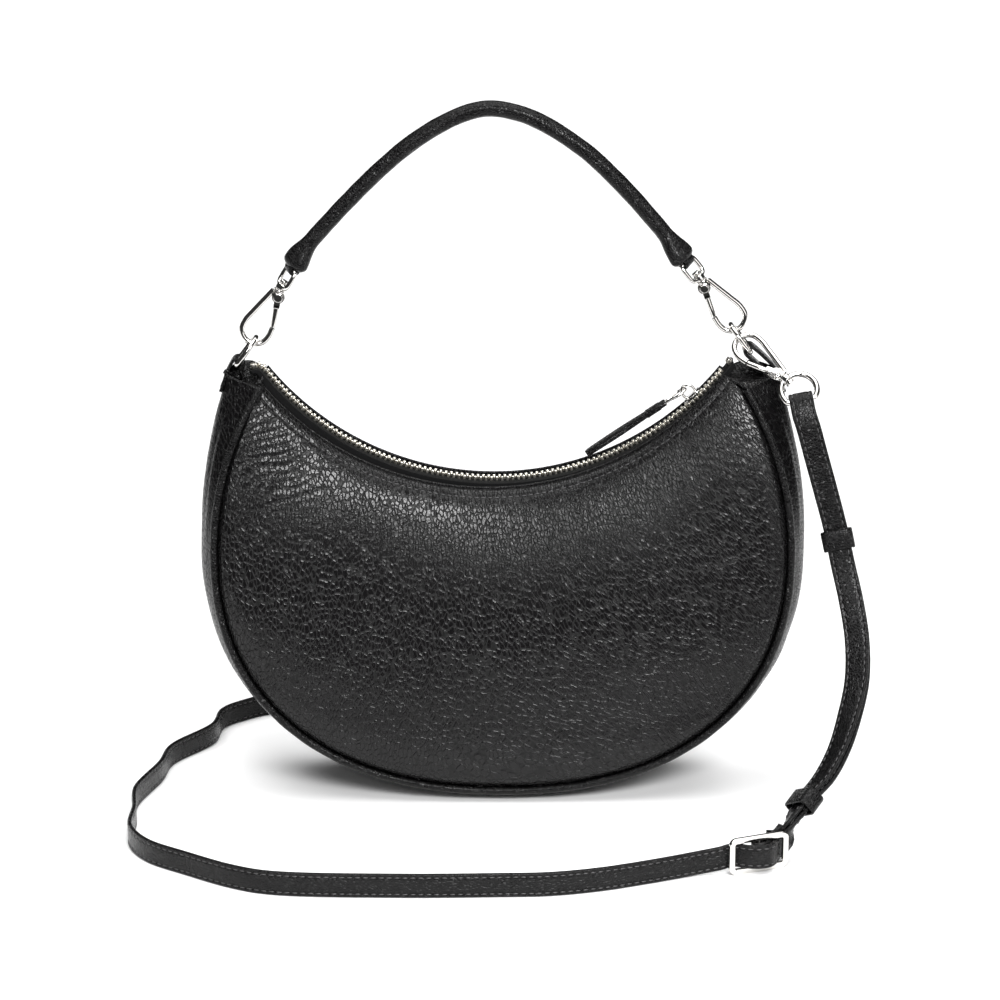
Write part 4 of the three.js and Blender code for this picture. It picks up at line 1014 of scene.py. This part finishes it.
def addStrapEye(name, place):
    mesh = bmesh.new()
    bar = strapBar(place)
    points = []
    for k in range(90):
        turn = 2 * math.pi * k / 90
        toFlat = math.cos(turn + bar["tilt"])
        reach = hook["eyeFlat"] / toFlat if toFlat > hook["eyeFlat"] / hook["eye"] else hook["eye"]
        points.append(Vector((reach * math.sin(turn), 0, bossMiddle + hook["eye"] + reach * math.cos(turn))))
    addTube(mesh, evenLoop(points, 96), hook["eyeWire"], across, 14, True)
    addBoss(mesh)
    mesh.transform(Matrix.Rotation(bar["turn"], 4, "Z"))
    return finishHookPart(name, "eye", mesh, "bag", place)


hookPieces = {}
for place, name in (("left", "handle_hook_left"), ("right", "handle_hook_right"),
                    ("near", "strap_hook_near"), ("far", "strap_hook_far")):
    made = [addHookBody(name, place), addHookGate(name, place), addHookPin(name, place)]
    made.append(addStirrup(name, place) if place in sides else addStrapEye(name, place))
    frame["nodes"][f"{name}_spring"].data.materials.clear()
    frame["nodes"][f"{name}_spring"].data.materials.append(finishes["nickel"][0])
    hookPieces[place] = [*made, frame["nodes"][f"{name}_spring"]]
print("hooks:", sum(len(made) for made in hookPieces.values()), "pieces")

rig.cord(
    mainPiece, exit=mainFrames[0][0], length=mainLength, diameter=strap["width"], far_end="connector",
    stiffness="medium", lay="loose", path=[at for at, _, _ in mainFrames],
    with_pieces=[mainStitches, bucklePiece, *hookPieces["far"]])
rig.cord(
    returnPiece, exit=returnFrames[0][0], length=returnLength, diameter=strap["width"], far_end="bare",
    stiffness="medium", lay="hanging", path=[at for at, _, _ in returnFrames],
    with_pieces=[returnStitches, *keeperPieces, *hookPieces["near"]])


# outlines of the body

body = dict(
    widest=118 * mm, fullness=2.25, bottomHalfDepth=32 * mm, cornerHalfDepth=14 * mm, bulge=11.8 * mm,
    leather=2 * mm, piping=1.9 * mm, fitGap=0.3 * mm, mouthDepth=11 * mm, cornerDepth=10 * mm,
    panelAngle=math.radians(52), lean=0.9, hemStitch=3.2 * mm, hemPitch=3.1 * mm, hemBead=0.65 * mm,
    hemSagLeft=4.2 * mm, hemSagRight=0.6 * mm, lip=2.4 * mm, ear=1.7 * mm, capSagLeft=6 * mm,
    capSagRight=1.5 * mm, capRise=4.5 * mm)
crownRim = dict(half=140 * mm, bottom=-1.5 * mm, upper=185 * mm, end=199 * mm)
seamRim = dict(half=132.5 * mm, bottom=5.5 * mm, upper=138.5 * mm, end=193 * mm)
mouth = dict(x=-4 * mm, z=281 * mm, radius=133 * mm)


def rim(t, shape):
    # from the left corner (-1) under the bag (0) to the right corner (1)
    corner = math.asin((shape["end"] - body["widest"]) / shape["upper"])
    angle = mix(-math.pi / 2, corner, abs(t))
    power = 2 / body["fullness"] if angle < 0 else 1
    reach = body["widest"] - shape["bottom"] if angle < 0 else shape["upper"]
    x = shape["half"] * math.cos(angle) ** power
    z = body["widest"] + math.copysign(reach * abs(math.sin(angle)) ** power, angle)
    return Vector((math.copysign(x, t), 0, z))


def seamWithin(t, distance):
    along = (rim(min(t + 1e-3, 1), seamRim) - rim(max(t - 1e-3, -1), seamRim)).normalized()
    return rim(t, seamRim) + distance * Vector((-along.z, 0, along.x))


def seamHalfDepth(t):
    return mix(body["bottomHalfDepth"], body["cornerHalfDepth"], t ** 4)


def onMouth(angle, radius, y):
    return Vector((mouth["x"] + radius * math.sin(angle), y, mouth["z"] - radius * math.cos(angle)))


wrinkles = dict(
    side=104 * mm, height=164 * mm, spacing=4 * mm, depthLeft=0.36 * mm, depthRight=0.12 * mm,
    reach=24 * mm, drift=13 * mm, unevenness=1.5 * mm, patch=62 * mm)


def panelRelief(at, side):
    # the hide lies unevenly, and it gathers in short folds beside each upper corner
    slow = wrinkles["unevenness"] * noise.noise(Vector((at.x, at.z, side * 0.2)) / wrinkles["patch"])
    fold = 0
    for sign in (-1, 1):
        away = Vector((at.x - sign * wrinkles["side"], 0, at.z - wrinkles["height"]))
        near = math.exp(-(away.length / wrinkles["reach"]) ** 2)
        drift = 5 * noise.noise(Vector((at.x, at.z, 0)) / wrinkles["drift"])
        depth = wrinkles["depthLeft"] if sign < 0 else wrinkles["depthRight"]
        turn = 2 * math.pi * (away.z + sign * 0.25 * away.x) / wrinkles["spacing"] + drift
        fold += depth * near * math.sin(turn)
    return slow + fold


def hemPoint(t, side):
    # the front hem sags a little below the zip, most of all at the left
    sag = mix(body["hemSagRight"], body["hemSagLeft"], ease(0.5 - t / 2)) if side < 0 else 0
    return onMouth(t * body["panelAngle"], mouth["radius"] + sag, 0)


def panelPoint(t, s, side, raised=0.0):
    # side is -1 on the front panel and 1 on the back one; s runs from the mouth to the seam
    edge = hemPoint(t, side)
    seam = seamWithin(t, body["piping"] - 0.5 * mm)
    at = edge.lerp(seam, s)
    depth = mix(mix(body["mouthDepth"], body["cornerDepth"], t ** 4), seamHalfDepth(t), s)
    swell = body["bulge"] * math.sqrt(max(0, math.sin(math.pi * s ** body["lean"]))) * (1 - abs(t) ** 3)
    run = (seam - edge).length
    fade = ease(s * run / (12 * mm)) * ease((1 - s) * run / (14 * mm)) * ease((1 - abs(t)) / 0.06)
    # the hem turns in towards the zip, and the hide dips into the piped seam
    hem = -1.1 * mm * (1 - min(1, s * run / (1.6 * mm))) ** 2
    dip = -1.6 * mm * (1 - ease((1 - s) * run / (5 * mm)))
    quilt = -0.35 * mm * math.exp(-((s * run - body["hemStitch"]) / (0.9 * mm)) ** 2)
    at.y = side * (depth + swell + hem + dip + quilt + fade * panelRelief(at, side) + raised)
    return at


def gussetPoint(t, v):
    across = 2 * v - 1
    at = rim(t, seamRim).lerp(rim(t, crownRim), 1 - abs(across) ** 3)
    at.y = across * (seamHalfDepth(t) - body["piping"] - body["fitGap"] + 1.6 * mm * abs(across) ** 4)
    relief = 0.7 * mm * noise.noise(at / (26 * mm)) * ease((1 - abs(across)) / 0.3) * ease(at.z / (20 * mm))
    # a fold stands beside the piping below each corner, and the top edge rolls inwards
    crest = math.exp(-((abs(across) - 0.8) / 0.1) ** 2)
    window = ease((abs(t) - 0.76) / 0.1) * ease((1 - abs(t)) / 0.04)
    roll = body["lip"] * (1 - math.cos(math.pi / 2 * max(0, (abs(t) - 0.965) / 0.035)))
    at.x += math.copysign(body["ear"] * crest * window - relief - roll * (1 - across * across), at.x)
    at.z = max(at.z, 0)
    return at


def cornerPoint(sign, u, v):
    # the pinched leather between the gusset's top edge and the end of the zip
    outer = gussetPoint(sign, v)
    inner = onMouth(sign * body["panelAngle"], mouth["radius"] + 1.5 * mm, (2 * v - 1) * 8.5 * mm)
    sag = body["capSagLeft"] if sign < 0 else body["capSagRight"]
    at = outer.lerp(inner, u)
    # hollow in front, standing up behind
    behind = ease((v - 0.4) / 0.3) * ease((1 - v) / 0.15)
    at.z += math.sin(math.pi * u) * (body["capRise"] * behind - sag * math.sin(math.pi * v) * (1 - behind))
    return at


def spread(share, power=1.35):
    # from -1 to 1 with closer steps at both ends
    t = 2 * share - 1
    return math.copysign(1 - (1 - abs(t)) ** power, t)


def addPanel(name, side):
    mesh = bmesh.new()
    addSkin(mesh, lambda u, v: panelPoint(spread(u), v ** 1.15, side), 230, 110)
    turnOutward(mesh, lambda face: face.normal.y * side)
    return finishPiece(f"{name}_leather", mesh, "pebbled", "bag", [name], sharp=180, wall=body["leather"])


def addPanelStitches(name, side):
    model = stitchModel(2.3 * mm, 0.26 * mm)
    mesh = bmesh.new()

    def place(t):
        run = (seamWithin(t, body["piping"]) - hemPoint(t, side)).length
        return panelPoint(t, body["hemStitch"] / run, side, 0.12 * mm)

    shares, length = evenShares(lambda k: place(mix(-0.97, 0.97, k)), body["hemPitch"], 1200)
    points = [place(mix(-0.97, 0.97, k)) for k in shares]
    for here, there in zip(points, points[1:]):
        along = (there - here).normalized()
        out = Vector((0, side, 0))
        out = (out - out.dot(along) * along).normalized()
        addCopies(mesh, model, [basis((here + there) / 2, along, out.cross(along), out)])
    finishPiece(f"{name}_stitches", mesh, "thread", "bag", sharp=180)


def addHem(name, side):
    # the folded top edge, pressed smooth
    mesh = bmesh.new()
    line = [panelPoint(mix(-1, 1, k / 240), 0, side) for k in range(241)]
    frames = []
    for k, at in enumerate(line):
        along = heading(line, k)
        out = along.cross(across).normalized()
        frames.append((at - side * 0.5 * mm * across, out, along.cross(out)))
    addSweep(mesh, frames, lambda share: circle(body["hemBead"], 12))
    bmesh.ops.recalc_face_normals(mesh, faces=mesh.faces)
    finishPiece(f"{name}_hem", mesh, "smooth", "bag", sharp=60)


def addGusset():
    mesh = bmesh.new()
    addSkin(mesh, lambda u, v: gussetPoint(spread(u), v), 260, 40)
    turnOutward(mesh, lambda face: face.normal.x * face.calc_center_median().x)
    # the gusset takes the less shiny copy of the pebbled leather: painted shade on the sides
    return finishPiece("gusset_leather", mesh, "shadedSide", "bag", ["gusset"], sharp=180, wall=body["leather"])


def addCorner(sideName, sign):
    mesh = bmesh.new()
    addSkin(mesh, lambda u, v: cornerPoint(sign, u, v), 14, 24)
    turnOutward(mesh, lambda face: face.normal.z)
    return finishPiece(f"corner_{sideName}_leather", mesh, "pebbled", "bag", sharp=180, wall=0.9 * mm)


def addPiping(name, side):
    mesh = bmesh.new()
    points = []
    for k in range(261):
        t = 2 * k / 260 - 1
        at = rim(t, seamRim)
        at.y = side * seamHalfDepth(t)
        points.append(at)
    frames = []
    for k, at in enumerate(points):
        along = heading(points, k)
        out = Vector((-along.z, 0, along.x)).normalized()
        frames.append((at, out, along.cross(out)))
    addSweep(mesh, frames, lambda share: circle(body["piping"] * (0.97 + 0.03 * math.sin(share * 190)), 14))
    bmesh.ops.recalc_face_normals(mesh, faces=mesh.faces)
    return finishPiece(f"{name}_leather", mesh, "smooth", "bag", [name], sharp=60)


for sideName, side in (("front", -1), ("back", 1)):
    addPanel(f"{sideName}_panel", side)
    addPanelStitches(f"{sideName}_panel", side)
    addHem(f"{sideName}_panel", side)
    addPiping(f"piping_{sideName}", side)
addGusset()
for sideName, side in sides.items():
    addCorner(sideName, side)
print("panels, gusset and piping")


# zip

zipper = dict(
    endAngle=math.radians(53.5), endAngleLeft=math.radians(54.9), tapeAngle=math.radians(54.8),
    tapeAngleLeft=math.radians(55.6), curlAngle=math.radians(-52.4), curl=4.5 * mm,
    tape=0.8 * mm, flange=7 * mm, halfHeight=1.2 * mm, pitch=2.5 * mm,
    sliderAngle=math.radians(44.2), sliderLength=9 * mm, sliderHalf=3.9 * mm, plate=1 * mm,
    bridge=2.9 * mm, bridgeHeight=5.4 * mm, bridgeWire=0.65 * mm,
    linkLength=13 * mm, linkWire=0.6 * mm, linkRing=4 * mm)


def zipBasis(angle):
    # x along the zip to the right, y across it, z towards the inside of its curve
    held = max(angle, zipper["curlAngle"])
    x = Vector((math.cos(held), 0, math.sin(held)))
    z = Vector((-math.sin(held), 0, math.cos(held)))
    at = onMouth(held, mouth["radius"], 0)
    if angle < held:
        # the left end curls over
        turn = (held - angle) * mouth["radius"] / zipper["curl"]
        at += zipper["curl"] * ((math.cos(turn) - 1) * z - math.sin(turn) * x)
        x, z = math.cos(turn) * x + math.sin(turn) * z, math.cos(turn) * z - math.sin(turn) * x
    return basis(at, x, across, z)


def tapePoint(u, v, side):
    angle = mix(-zipper["tapeAngleLeft"], zipper["tapeAngle"], u)
    outer = body["mouthDepth"] - body["leather"] - body["fitGap"] - zipper["tape"]
    nearEnd = (angle / zipper["tapeAngle"]) ** 4
    narrowing = mix(1, body["cornerDepth"] / body["mouthDepth"], nearEnd)
    y = mix(1.2 * mm, outer, min(2 * v, 1)) * narrowing
    sink = zipper["flange"] * max(2 * v - 1, 0) * (1 - 0.8 * nearEnd)
    below = zipper["halfHeight"] * 0.5 + body["fitGap"] + sink
    return zipBasis(angle) @ Vector((0, side * y, -below))


def toothModel():
    # a broad foot on the tape and a narrower head that meshes with the other side
    mesh = bmesh.new()
    addBlock(mesh, Vector((-0.66, 0.9, -1.1)) * mm, Vector((0.66, 2.7, 1.1)) * mm, 0.28 * mm)
    addBlock(mesh, Vector((-0.45, -0.7, -1.0)) * mm, Vector((0.45, 1.5, 0.8)) * mm, 0.22 * mm)
    model = bpy.data.meshes.new("tooth")
    mesh.to_mesh(model)
    mesh.free()
    return model


def addZipSide(sideName, side):
    mesh = bmesh.new()
    addSkin(mesh, lambda u, v: tapePoint(u, v, side), 160, 10)
    turnOutward(mesh, lambda face: face.normal.z)
    name = f"zip_tape_{sideName}"
    finishPiece(f"{name}_twill", mesh, "tape", "bag", [name], sharp=60, wall=zipper["tape"])
    model = toothModel()
    turned = Matrix.Rotation(math.pi, 4, "Z") if side < 0 else Matrix.Identity(4)
    step = zipper["pitch"] / mouth["radius"]
    count = int((zipper["endAngleLeft"] + zipper["endAngle"]) / step) - 1
    teeth = bmesh.new()
    start = -zipper["endAngleLeft"] + (0.5 if side < 0 else 1.0) * step
    addCopies(teeth, model, [zipBasis(start + k * step) @ turned for k in range(count)])
    name = f"zip_teeth_{sideName}"
    finishPiece(f"{name}_row", teeth, "teeth", "bag", [name], sharp=50)


def addZipStop(sideName, side):
    mesh = bmesh.new()
    addBlock(mesh, Vector((-1.2, -2.7, -1.1)) * mm, Vector((1.2, 2.7, 1.3)) * mm, 0.4 * mm)
    end = zipper["endAngleLeft"] if side < 0 else zipper["endAngle"] + 1.9 * mm / mouth["radius"]
    mesh.transform(zipBasis(side * end))
    finishPiece(f"zip_stop_{sideName}_clip", mesh, "teeth", "bag", [f"zip_stop_{sideName}"])


def addSlider():
    mesh = bmesh.new()
    half, reach = zipper["sliderLength"] / 2, zipper["halfHeight"] + body["fitGap"]
    plates = [(reach, reach + zipper["plate"]), (-reach - 2.4 * mm, -reach - 1.4 * mm)]
    for low, high in plates:
        outline = roundedOutline(half, zipper["sliderHalf"], 1.9 * mm, 5)
        spots = [mesh.verts.new((a, b, low)) for a, b in outline]
        face = mesh.faces.new(spots)
        made = bmesh.ops.extrude_face_region(mesh, geom=[face])
        lifted = [part for part in made["geom"] if isinstance(part, bmesh.types.BMVert)]
        bmesh.ops.translate(mesh, verts=lifted, vec=(0, 0, high - low))
        rims = [edge for edge in mesh.edges if edge.is_manifold and edge.calc_face_angle(0) > 1.2
                and abs(edge.verts[0].co.z - edge.verts[1].co.z) < 1e-6
                and low - 1e-6 < edge.verts[0].co.z < high + 1e-6]
        bmesh.ops.bevel(
            mesh, geom=rims, offset=0.25 * mm, segments=2, profile=0.5, affect="EDGES", material=-1)
    addBlock(
        mesh, Vector((half - 2.4 * mm, -0.5 * mm, -reach - 2 * mm)),
        Vector((half - 0.4 * mm, 0.5 * mm, reach + 0.5 * mm)))
    base, width, height = reach + zipper["plate"], zipper["bridge"], zipper["bridgeHeight"]
    arch = [(-0.8, -0.4 * mm / height), (-1, 0.4), (-0.7, 0.85), (0, 1), (0.7, 0.85), (1, 0.4),
            (0.8, -0.4 * mm / height)]
    line = smoothLine([Vector((a * width, 0, base + b * height)) for a, b in arch], 0.5 * mm)
    addTube(mesh, line, zipper["bridgeWire"], across, 12)
    mesh.transform(zipBasis(zipper["sliderAngle"]))
    bmesh.ops.recalc_face_normals(mesh, faces=mesh.faces)
    finishPiece("zip_slider_cast", mesh, "nickel", "slider", ["zip_slider"])


puller = dict(length=44 * mm, width=5.4 * mm, thickness=2.8 * mm, headWidth=4 * mm, ply=1.2 * mm)


def pullerBasis():
    # x down the puller from the slider's bridge
    hang = Vector(joints["link_swing"]["pos_m"])
    eye = Vector(joints["puller_swing"]["pos_m"])
    x = (eye - hang).normalized()
    return basis(hang, x, across, x.cross(across))


def addPullLink():
    # a round ring at the slider that narrows to hold the leather
    radius = zipper["linkRing"]
    turns = [math.radians(k) for k in range(35, 326, 10)]
    loop = [Vector((radius + radius * math.cos(turn), radius * math.sin(turn), 0)) for turn in turns]
    neck = [(9.6, -1.7), (11.6, -1.5), (12.8, -0.8), (13, 0), (12.8, 0.8), (11.6, 1.5), (9.6, 1.7)]
    loop += [Vector((x, y, 0)) * mm for x, y in neck]
    mesh = bmesh.new()
    addTube(mesh, evenLoop(loop, 90), zipper["linkWire"], up, 12, True)
    mesh.transform(pullerBasis())
    bmesh.ops.recalc_face_normals(mesh, faces=mesh.faces)
    finishPiece("pull_link_wire", mesh, "nickel", "link", ["pull_link"])


def addPuller():
    wire, length = zipper["linkWire"], zipper["linkLength"]
    head = length - wire - 1.5 * mm
    shoulder = length + wire + body["fitGap"]
    half = puller["thickness"] / 2
    mesh = bmesh.new()
    # the collar round the link, then the two plies of the tail
    addBlock(
        mesh, Vector((head, -puller["headWidth"] / 2, -half)),
        Vector((shoulder + 2 * mm, puller["headWidth"] / 2, half)), 0.7 * mm)
    addBlock(
        mesh, Vector((shoulder, -puller["width"] / 2, -half - 0.1 * mm)),
        Vector((shoulder + 8 * mm, puller["width"] / 2, half + 0.1 * mm)), 0.6 * mm)
    for sign in (-1, 1):
        frames = []
        for k in range(25):
            x = mix(shoulder + 7 * mm, head + puller["length"], k / 24)
            bend = sign * (0.62 * mm + 0.25 * mm * math.sin(math.pi * k / 24))
            frames.append((Vector((x, 0, bend)), across, up))

        def section(share):
            end = math.sqrt(max(0.05, 1 - max(0, (share - 0.94) / 0.06) ** 2))
            width = mix(0.86, 1.0, ease(share * 2)) * puller["width"] / 2 * end
            return roundedOutline(width, puller["ply"] / 2, 0.35 * mm * end, 3)

        addSweep(mesh, frames, section)
    mesh.transform(pullerBasis())
    bmesh.ops.recalc_face_normals(mesh, faces=mesh.faces)
    finishPiece("zip_puller_leather", mesh, "smooth", "puller", ["zip_puller"])
    stitches = bmesh.new()
    model = stitchModel(1.3 * mm, 0.22 * mm)
    for sign in (-1, 1):
        for k in range(4):
            at = Vector((shoulder + 7 * mm, (k - 1.5) * 1.25 * mm, sign * (half + 0.15 * mm)))
            addCopies(stitches, model, [basis(at, across, Vector((-1, 0, 0)), up)])
    stitches.transform(pullerBasis())
    finishPiece("zip_puller_stitches", stitches, "thread", "puller", sharp=180)


for sideName, side in (("front", -1), ("back", 1)):
    addZipSide(sideName, side)
for sideName, side in sides.items():
    addZipStop(sideName, side)
addSlider()
addPullLink()
addPuller()
print("zip")


# D-rings and their tabs

ring = dict(
    half=7 * mm, straight=7.5 * mm, corner=0.4 * mm, sideStart=3 * mm, wire=1.25 * mm, lean=math.radians(53),
    tabWidth=11 * mm, tabThickness=1.5 * mm, tabDrop=9 * mm, gussetDrop=6.2 * mm, innerDrop=6 * mm,
    stitchPitch=2.5 * mm)


def addDRing(sideName, sign):
    bar = Vector(joints[f"ring_{sideName}_swing"]["pos_m"])
    reach = Vector((-sign * math.cos(ring["lean"]), 0, math.sin(ring["lean"])))
    half, straight, corner, start = ring["half"], ring["straight"], ring["corner"], ring["sideStart"]
    shape = [(-5 * mm, 0), (0, 0), (5 * mm, 0), (half - corner, corner), (half, start), (half, straight)]
    for k in range(1, 8):
        turn = math.pi * k / 8
        shape.append((half * math.cos(turn), straight + half * math.sin(turn)))
    shape += [(-half, straight), (-half, start), (-half + corner, corner)]
    points = [bar + y * across + z * reach for y, z in shape]
    mesh = bmesh.new()
    normal = across.cross(reach).normalized()
    addTube(mesh, smoothLine(points, 0.7 * mm, True), ring["wire"], normal, 16, True)
    bmesh.ops.recalc_face_normals(mesh, faces=mesh.faces)
    name = f"d_ring_{sideName}"
    finishPiece(f"{name}_plated", mesh, "nickel", f"ring_{sideName}", [name])


def crownX(height):
    return crownRim["half"] * math.sqrt(1 - ((height - body["widest"]) / crownRim["upper"]) ** 2)


def addTab(sideName, sign):
    thick = ring["tabThickness"]
    outside = thick / 2 - 0.1 * mm
    inside = body["leather"] + body["fitGap"] + thick / 2
    radius = ring["wire"] + body["fitGap"] + thick / 2
    bar = Vector(joints[f"ring_{sideName}_swing"]["pos_m"])
    top = crownRim["end"]
    end = rim(sign, crownRim)
    leg = (bar - Vector((end.x - sign * body["leather"] / 2, 0, top))).normalized()
    outward = Vector((sign * leg.z, 0, -sign * leg.x))
    points = []
    for drop in (ring["tabDrop"], ring["tabDrop"] / 2, 0):
        points.append(Vector((sign * (crownX(top - drop) + outside), 0, top - drop)))
    for k in range(7):
        turn = math.pi * k / 6
        points.append(bar + radius * (math.cos(turn) * outward + math.sin(turn) * leg))
    foot = top - ring["innerDrop"]
    points.append(Vector((sign * (crownX(top) - inside - 0.5 * ring["gussetDrop"]), 0, top)))
    points.append(Vector((sign * (crownX(foot) - inside - ring["gussetDrop"]), 0, foot)))
    line = smoothLine(points, 0.6 * mm)
    mesh = bmesh.new()
    frames = [(at, face, side) for at, side, face in planeFrames(line, across)]
    outline = roundedOutline(ring["tabWidth"] / 2, thick / 2, 0.6 * mm, 3)
    addSweep(mesh, frames, lambda share: outline)
    bmesh.ops.recalc_face_normals(mesh, faces=mesh.faces)
    name = f"ring_tab_{sideName}"
    finishPiece(f"{name}_leather", mesh, "smooth", "bag", [name], sharp=60)
    addTabStitches(name, line, sign)


def addTabStitches(name, line, sign):
    # one row across the outer leg, just above its end
    low = 4
    mesh = bmesh.new()
    model = stitchModel(1.9 * mm, 0.25 * mm)
    along = (line[low + 2] - line[low]).normalized()
    face = along.cross(across).normalized()
    face = face if face.x * sign > 0 else -face
    out = (ring["tabThickness"] / 2 + 0.02 * mm) * face
    for k in (-1.5, -0.5, 0.5, 1.5):
        at = line[low] + k * ring["stitchPitch"] * across + out
        addCopies(mesh, model, [basis(at, across, face.cross(across), face)])
    finishPiece(f"{name}_stitches", mesh, "thread", "bag", sharp=180)


for sideName, side in sides.items():
    addDRing(sideName, side)
    addTab(sideName, side)
print("D-rings and tabs")


# handle

handle = dict(
    rise=71 * mm, radius=3.7 * mm, wall=1.3 * mm, endHalfWidth=7 * mm, endHalfDepth=4.6 * mm,
    flare=16 * mm, straight=8 * mm, hood=0.4 * mm, hoodEdge=2.6 * mm, seam=0.45 * mm, crumple=0.14 * mm,
    loopThickness=1.5 * mm, loopReach=8 * mm,
    arch=[(0.116, 0.357), (0.224, 0.624), (0.323, 0.822), (0.428, 0.962), (0.5, 1),
          (0.601, 0.943), (0.736, 0.733), (0.85, 0.459), (0.955, 0.149)])


def handleEnd(sideName):
    centre, u, n, w = hookFrame(sideName)
    turn = sides[sideName] * hook["handleTurn"]
    start = centre + (bossMiddle + hook["stirrupHeight"] + handle["hood"]) * w
    return start, w, math.cos(turn) * u + math.sin(turn) * n


def addHandle():
    (start, startAxis, startWide), (end, endAxis, endWide) = handleEnd("left"), handleEnd("right")
    points = [start, start + handle["straight"] * startAxis]
    points += [start.lerp(end, share) + handle["rise"] * rise * up for share, rise in handle["arch"]]
    points += [end + handle["straight"] * endAxis, end]
    shares, length = evenShares(lambda t: splinePoint(points, t), 1.1 * mm)
    line = [splinePoint(points, t) for t in shares]
    frames = []
    for k, at in enumerate(line):
        tangent = heading(line, k)
        wide = startWide.lerp(endWide, k / (len(line) - 1))
        wide = (wide - wide.dot(tangent) * tangent).normalized()
        frames.append((at, wide, tangent.cross(wide)))

    def section(share):
        distance = min(share, 1 - share) * length
        flare = ease(1.2 * (1 - distance / handle["flare"]))
        rounding = 1 - 0.3 * max(0, 1 - distance / handle["hoodEdge"]) ** 2
        outline = []
        for k in range(36):
            turn = 2 * math.pi * k / 36
            # the wrap's edge laps over itself in one long seam
            lap = handle["seam"] * max(0, 1 - ((turn - 2.2) % (2 * math.pi)) / 1.3) * (1 - flare)
            spot = Vector((share * length * 160, math.cos(turn) * 2, math.sin(turn) * 2))
            crumple = handle["crumple"] * noise.noise(spot)
            a = mix(handle["radius"], handle["endHalfWidth"], flare) + lap + crumple
            b = mix(handle["radius"], handle["endHalfDepth"], flare) + lap + crumple
            outline.append((rounding * a * math.cos(turn), rounding * b * math.sin(turn)))
        return outline

    mesh = bmesh.new()
    addSweep(mesh, frames, section, capped=False)
    bmesh.ops.recalc_face_normals(mesh, faces=mesh.faces)
    finishPiece(
        "handle_wrap_leather", mesh, "smooth", "handle", ["handle_wrap"], sharp=50, wall=handle["wall"])


def addHandleLoop(sideName, sign):
    radius = hook["stirrupWire"] + hook["gap"] + handle["loopThickness"] / 2
    apart = handle["loopThickness"] / 2 + hook["gap"]
    width = 2 * (hook["stirrupHalf"] - hook["stirrupWire"] - hook["gap"]) - 1.4 * mm
    bar = bossMiddle + hook["stirrupHeight"]
    reach = handle["loopReach"]
    points = [Vector((0, apart, bar + reach)), Vector((0, apart, bar + 0.6 * reach))]
    for k in range(7):
        turn = math.pi * k / 6
        points.append(Vector((0, radius * math.cos(turn), bar - radius * math.sin(turn))))
    points += [Vector((0, -apart, bar + 0.6 * reach)), Vector((0, -apart, bar + reach))]
    mesh = bmesh.new()
    line = smoothLine(points, 0.5 * mm)
    frames = [(at, face, side) for at, side, face in planeFrames(line, Vector((1, 0, 0)))]
    outline = roundedOutline(width / 2, handle["loopThickness"] / 2, 0.4 * mm, 3)
    addSweep(mesh, frames, lambda share: outline)
    mesh.transform(Matrix.Rotation(hook["stirrupTurns"][sideName], 4, "Z"))
    centre, u, n, w = hookFrame(sideName)
    mesh.transform(basis(centre, u, n, w))
    bmesh.ops.recalc_face_normals(mesh, faces=mesh.faces)
    name = f"handle_loop_{sideName}"
    finishPiece(f"{name}_leather", mesh, "smooth", "handle", [name], sharp=60)


addHandle()
for sideName, side in sides.items():
    addHandleLoop(sideName, side)
print("handle")


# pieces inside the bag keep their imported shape

for node, finish in (("lining", "lining"), ("slip_pocket", "lining"), ("base_stiffener", "board"),
                     ("handle_core", "core")):
    data = frame["nodes"][node].data
    data.materials.clear()
    data.materials.append(finishes[finish][0])


# floor

paper = floorMaterial()


def addFloor(name, middle, mirrored):
    mesh = bmesh.new()
    bmesh.ops.create_grid(
        mesh, x_segments=8, y_segments=8, size=studio["floorHalf"], matrix=Matrix.Translation((0, middle, 0)))
    data = bpy.data.meshes.new(name)
    mesh.to_mesh(data)
    mesh.free()
    data.materials.append(paper)
    floor = bpy.data.objects.new(name, data)
    floor.visible_glossy = mirrored
    bpy.context.scene.collection.objects.link(floor)
    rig.stage(floor)


addFloor("floor", studio["floorFront"] + studio["floorHalf"], True)
# the leather and the metal don't mirror the paper in front of the bag, only the dark room beyond it
addFloor("floor_front", studio["floorFront"] - studio["floorHalf"], False)
addLights()
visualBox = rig.bounds()
boxes = {"cad": [list(corner) for corner in cadBox], "visual": [list(corner) for corner in visualBox]}
with open("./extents.json", "w") as sizes:
    json.dump(boxes, sizes)
print("finished")
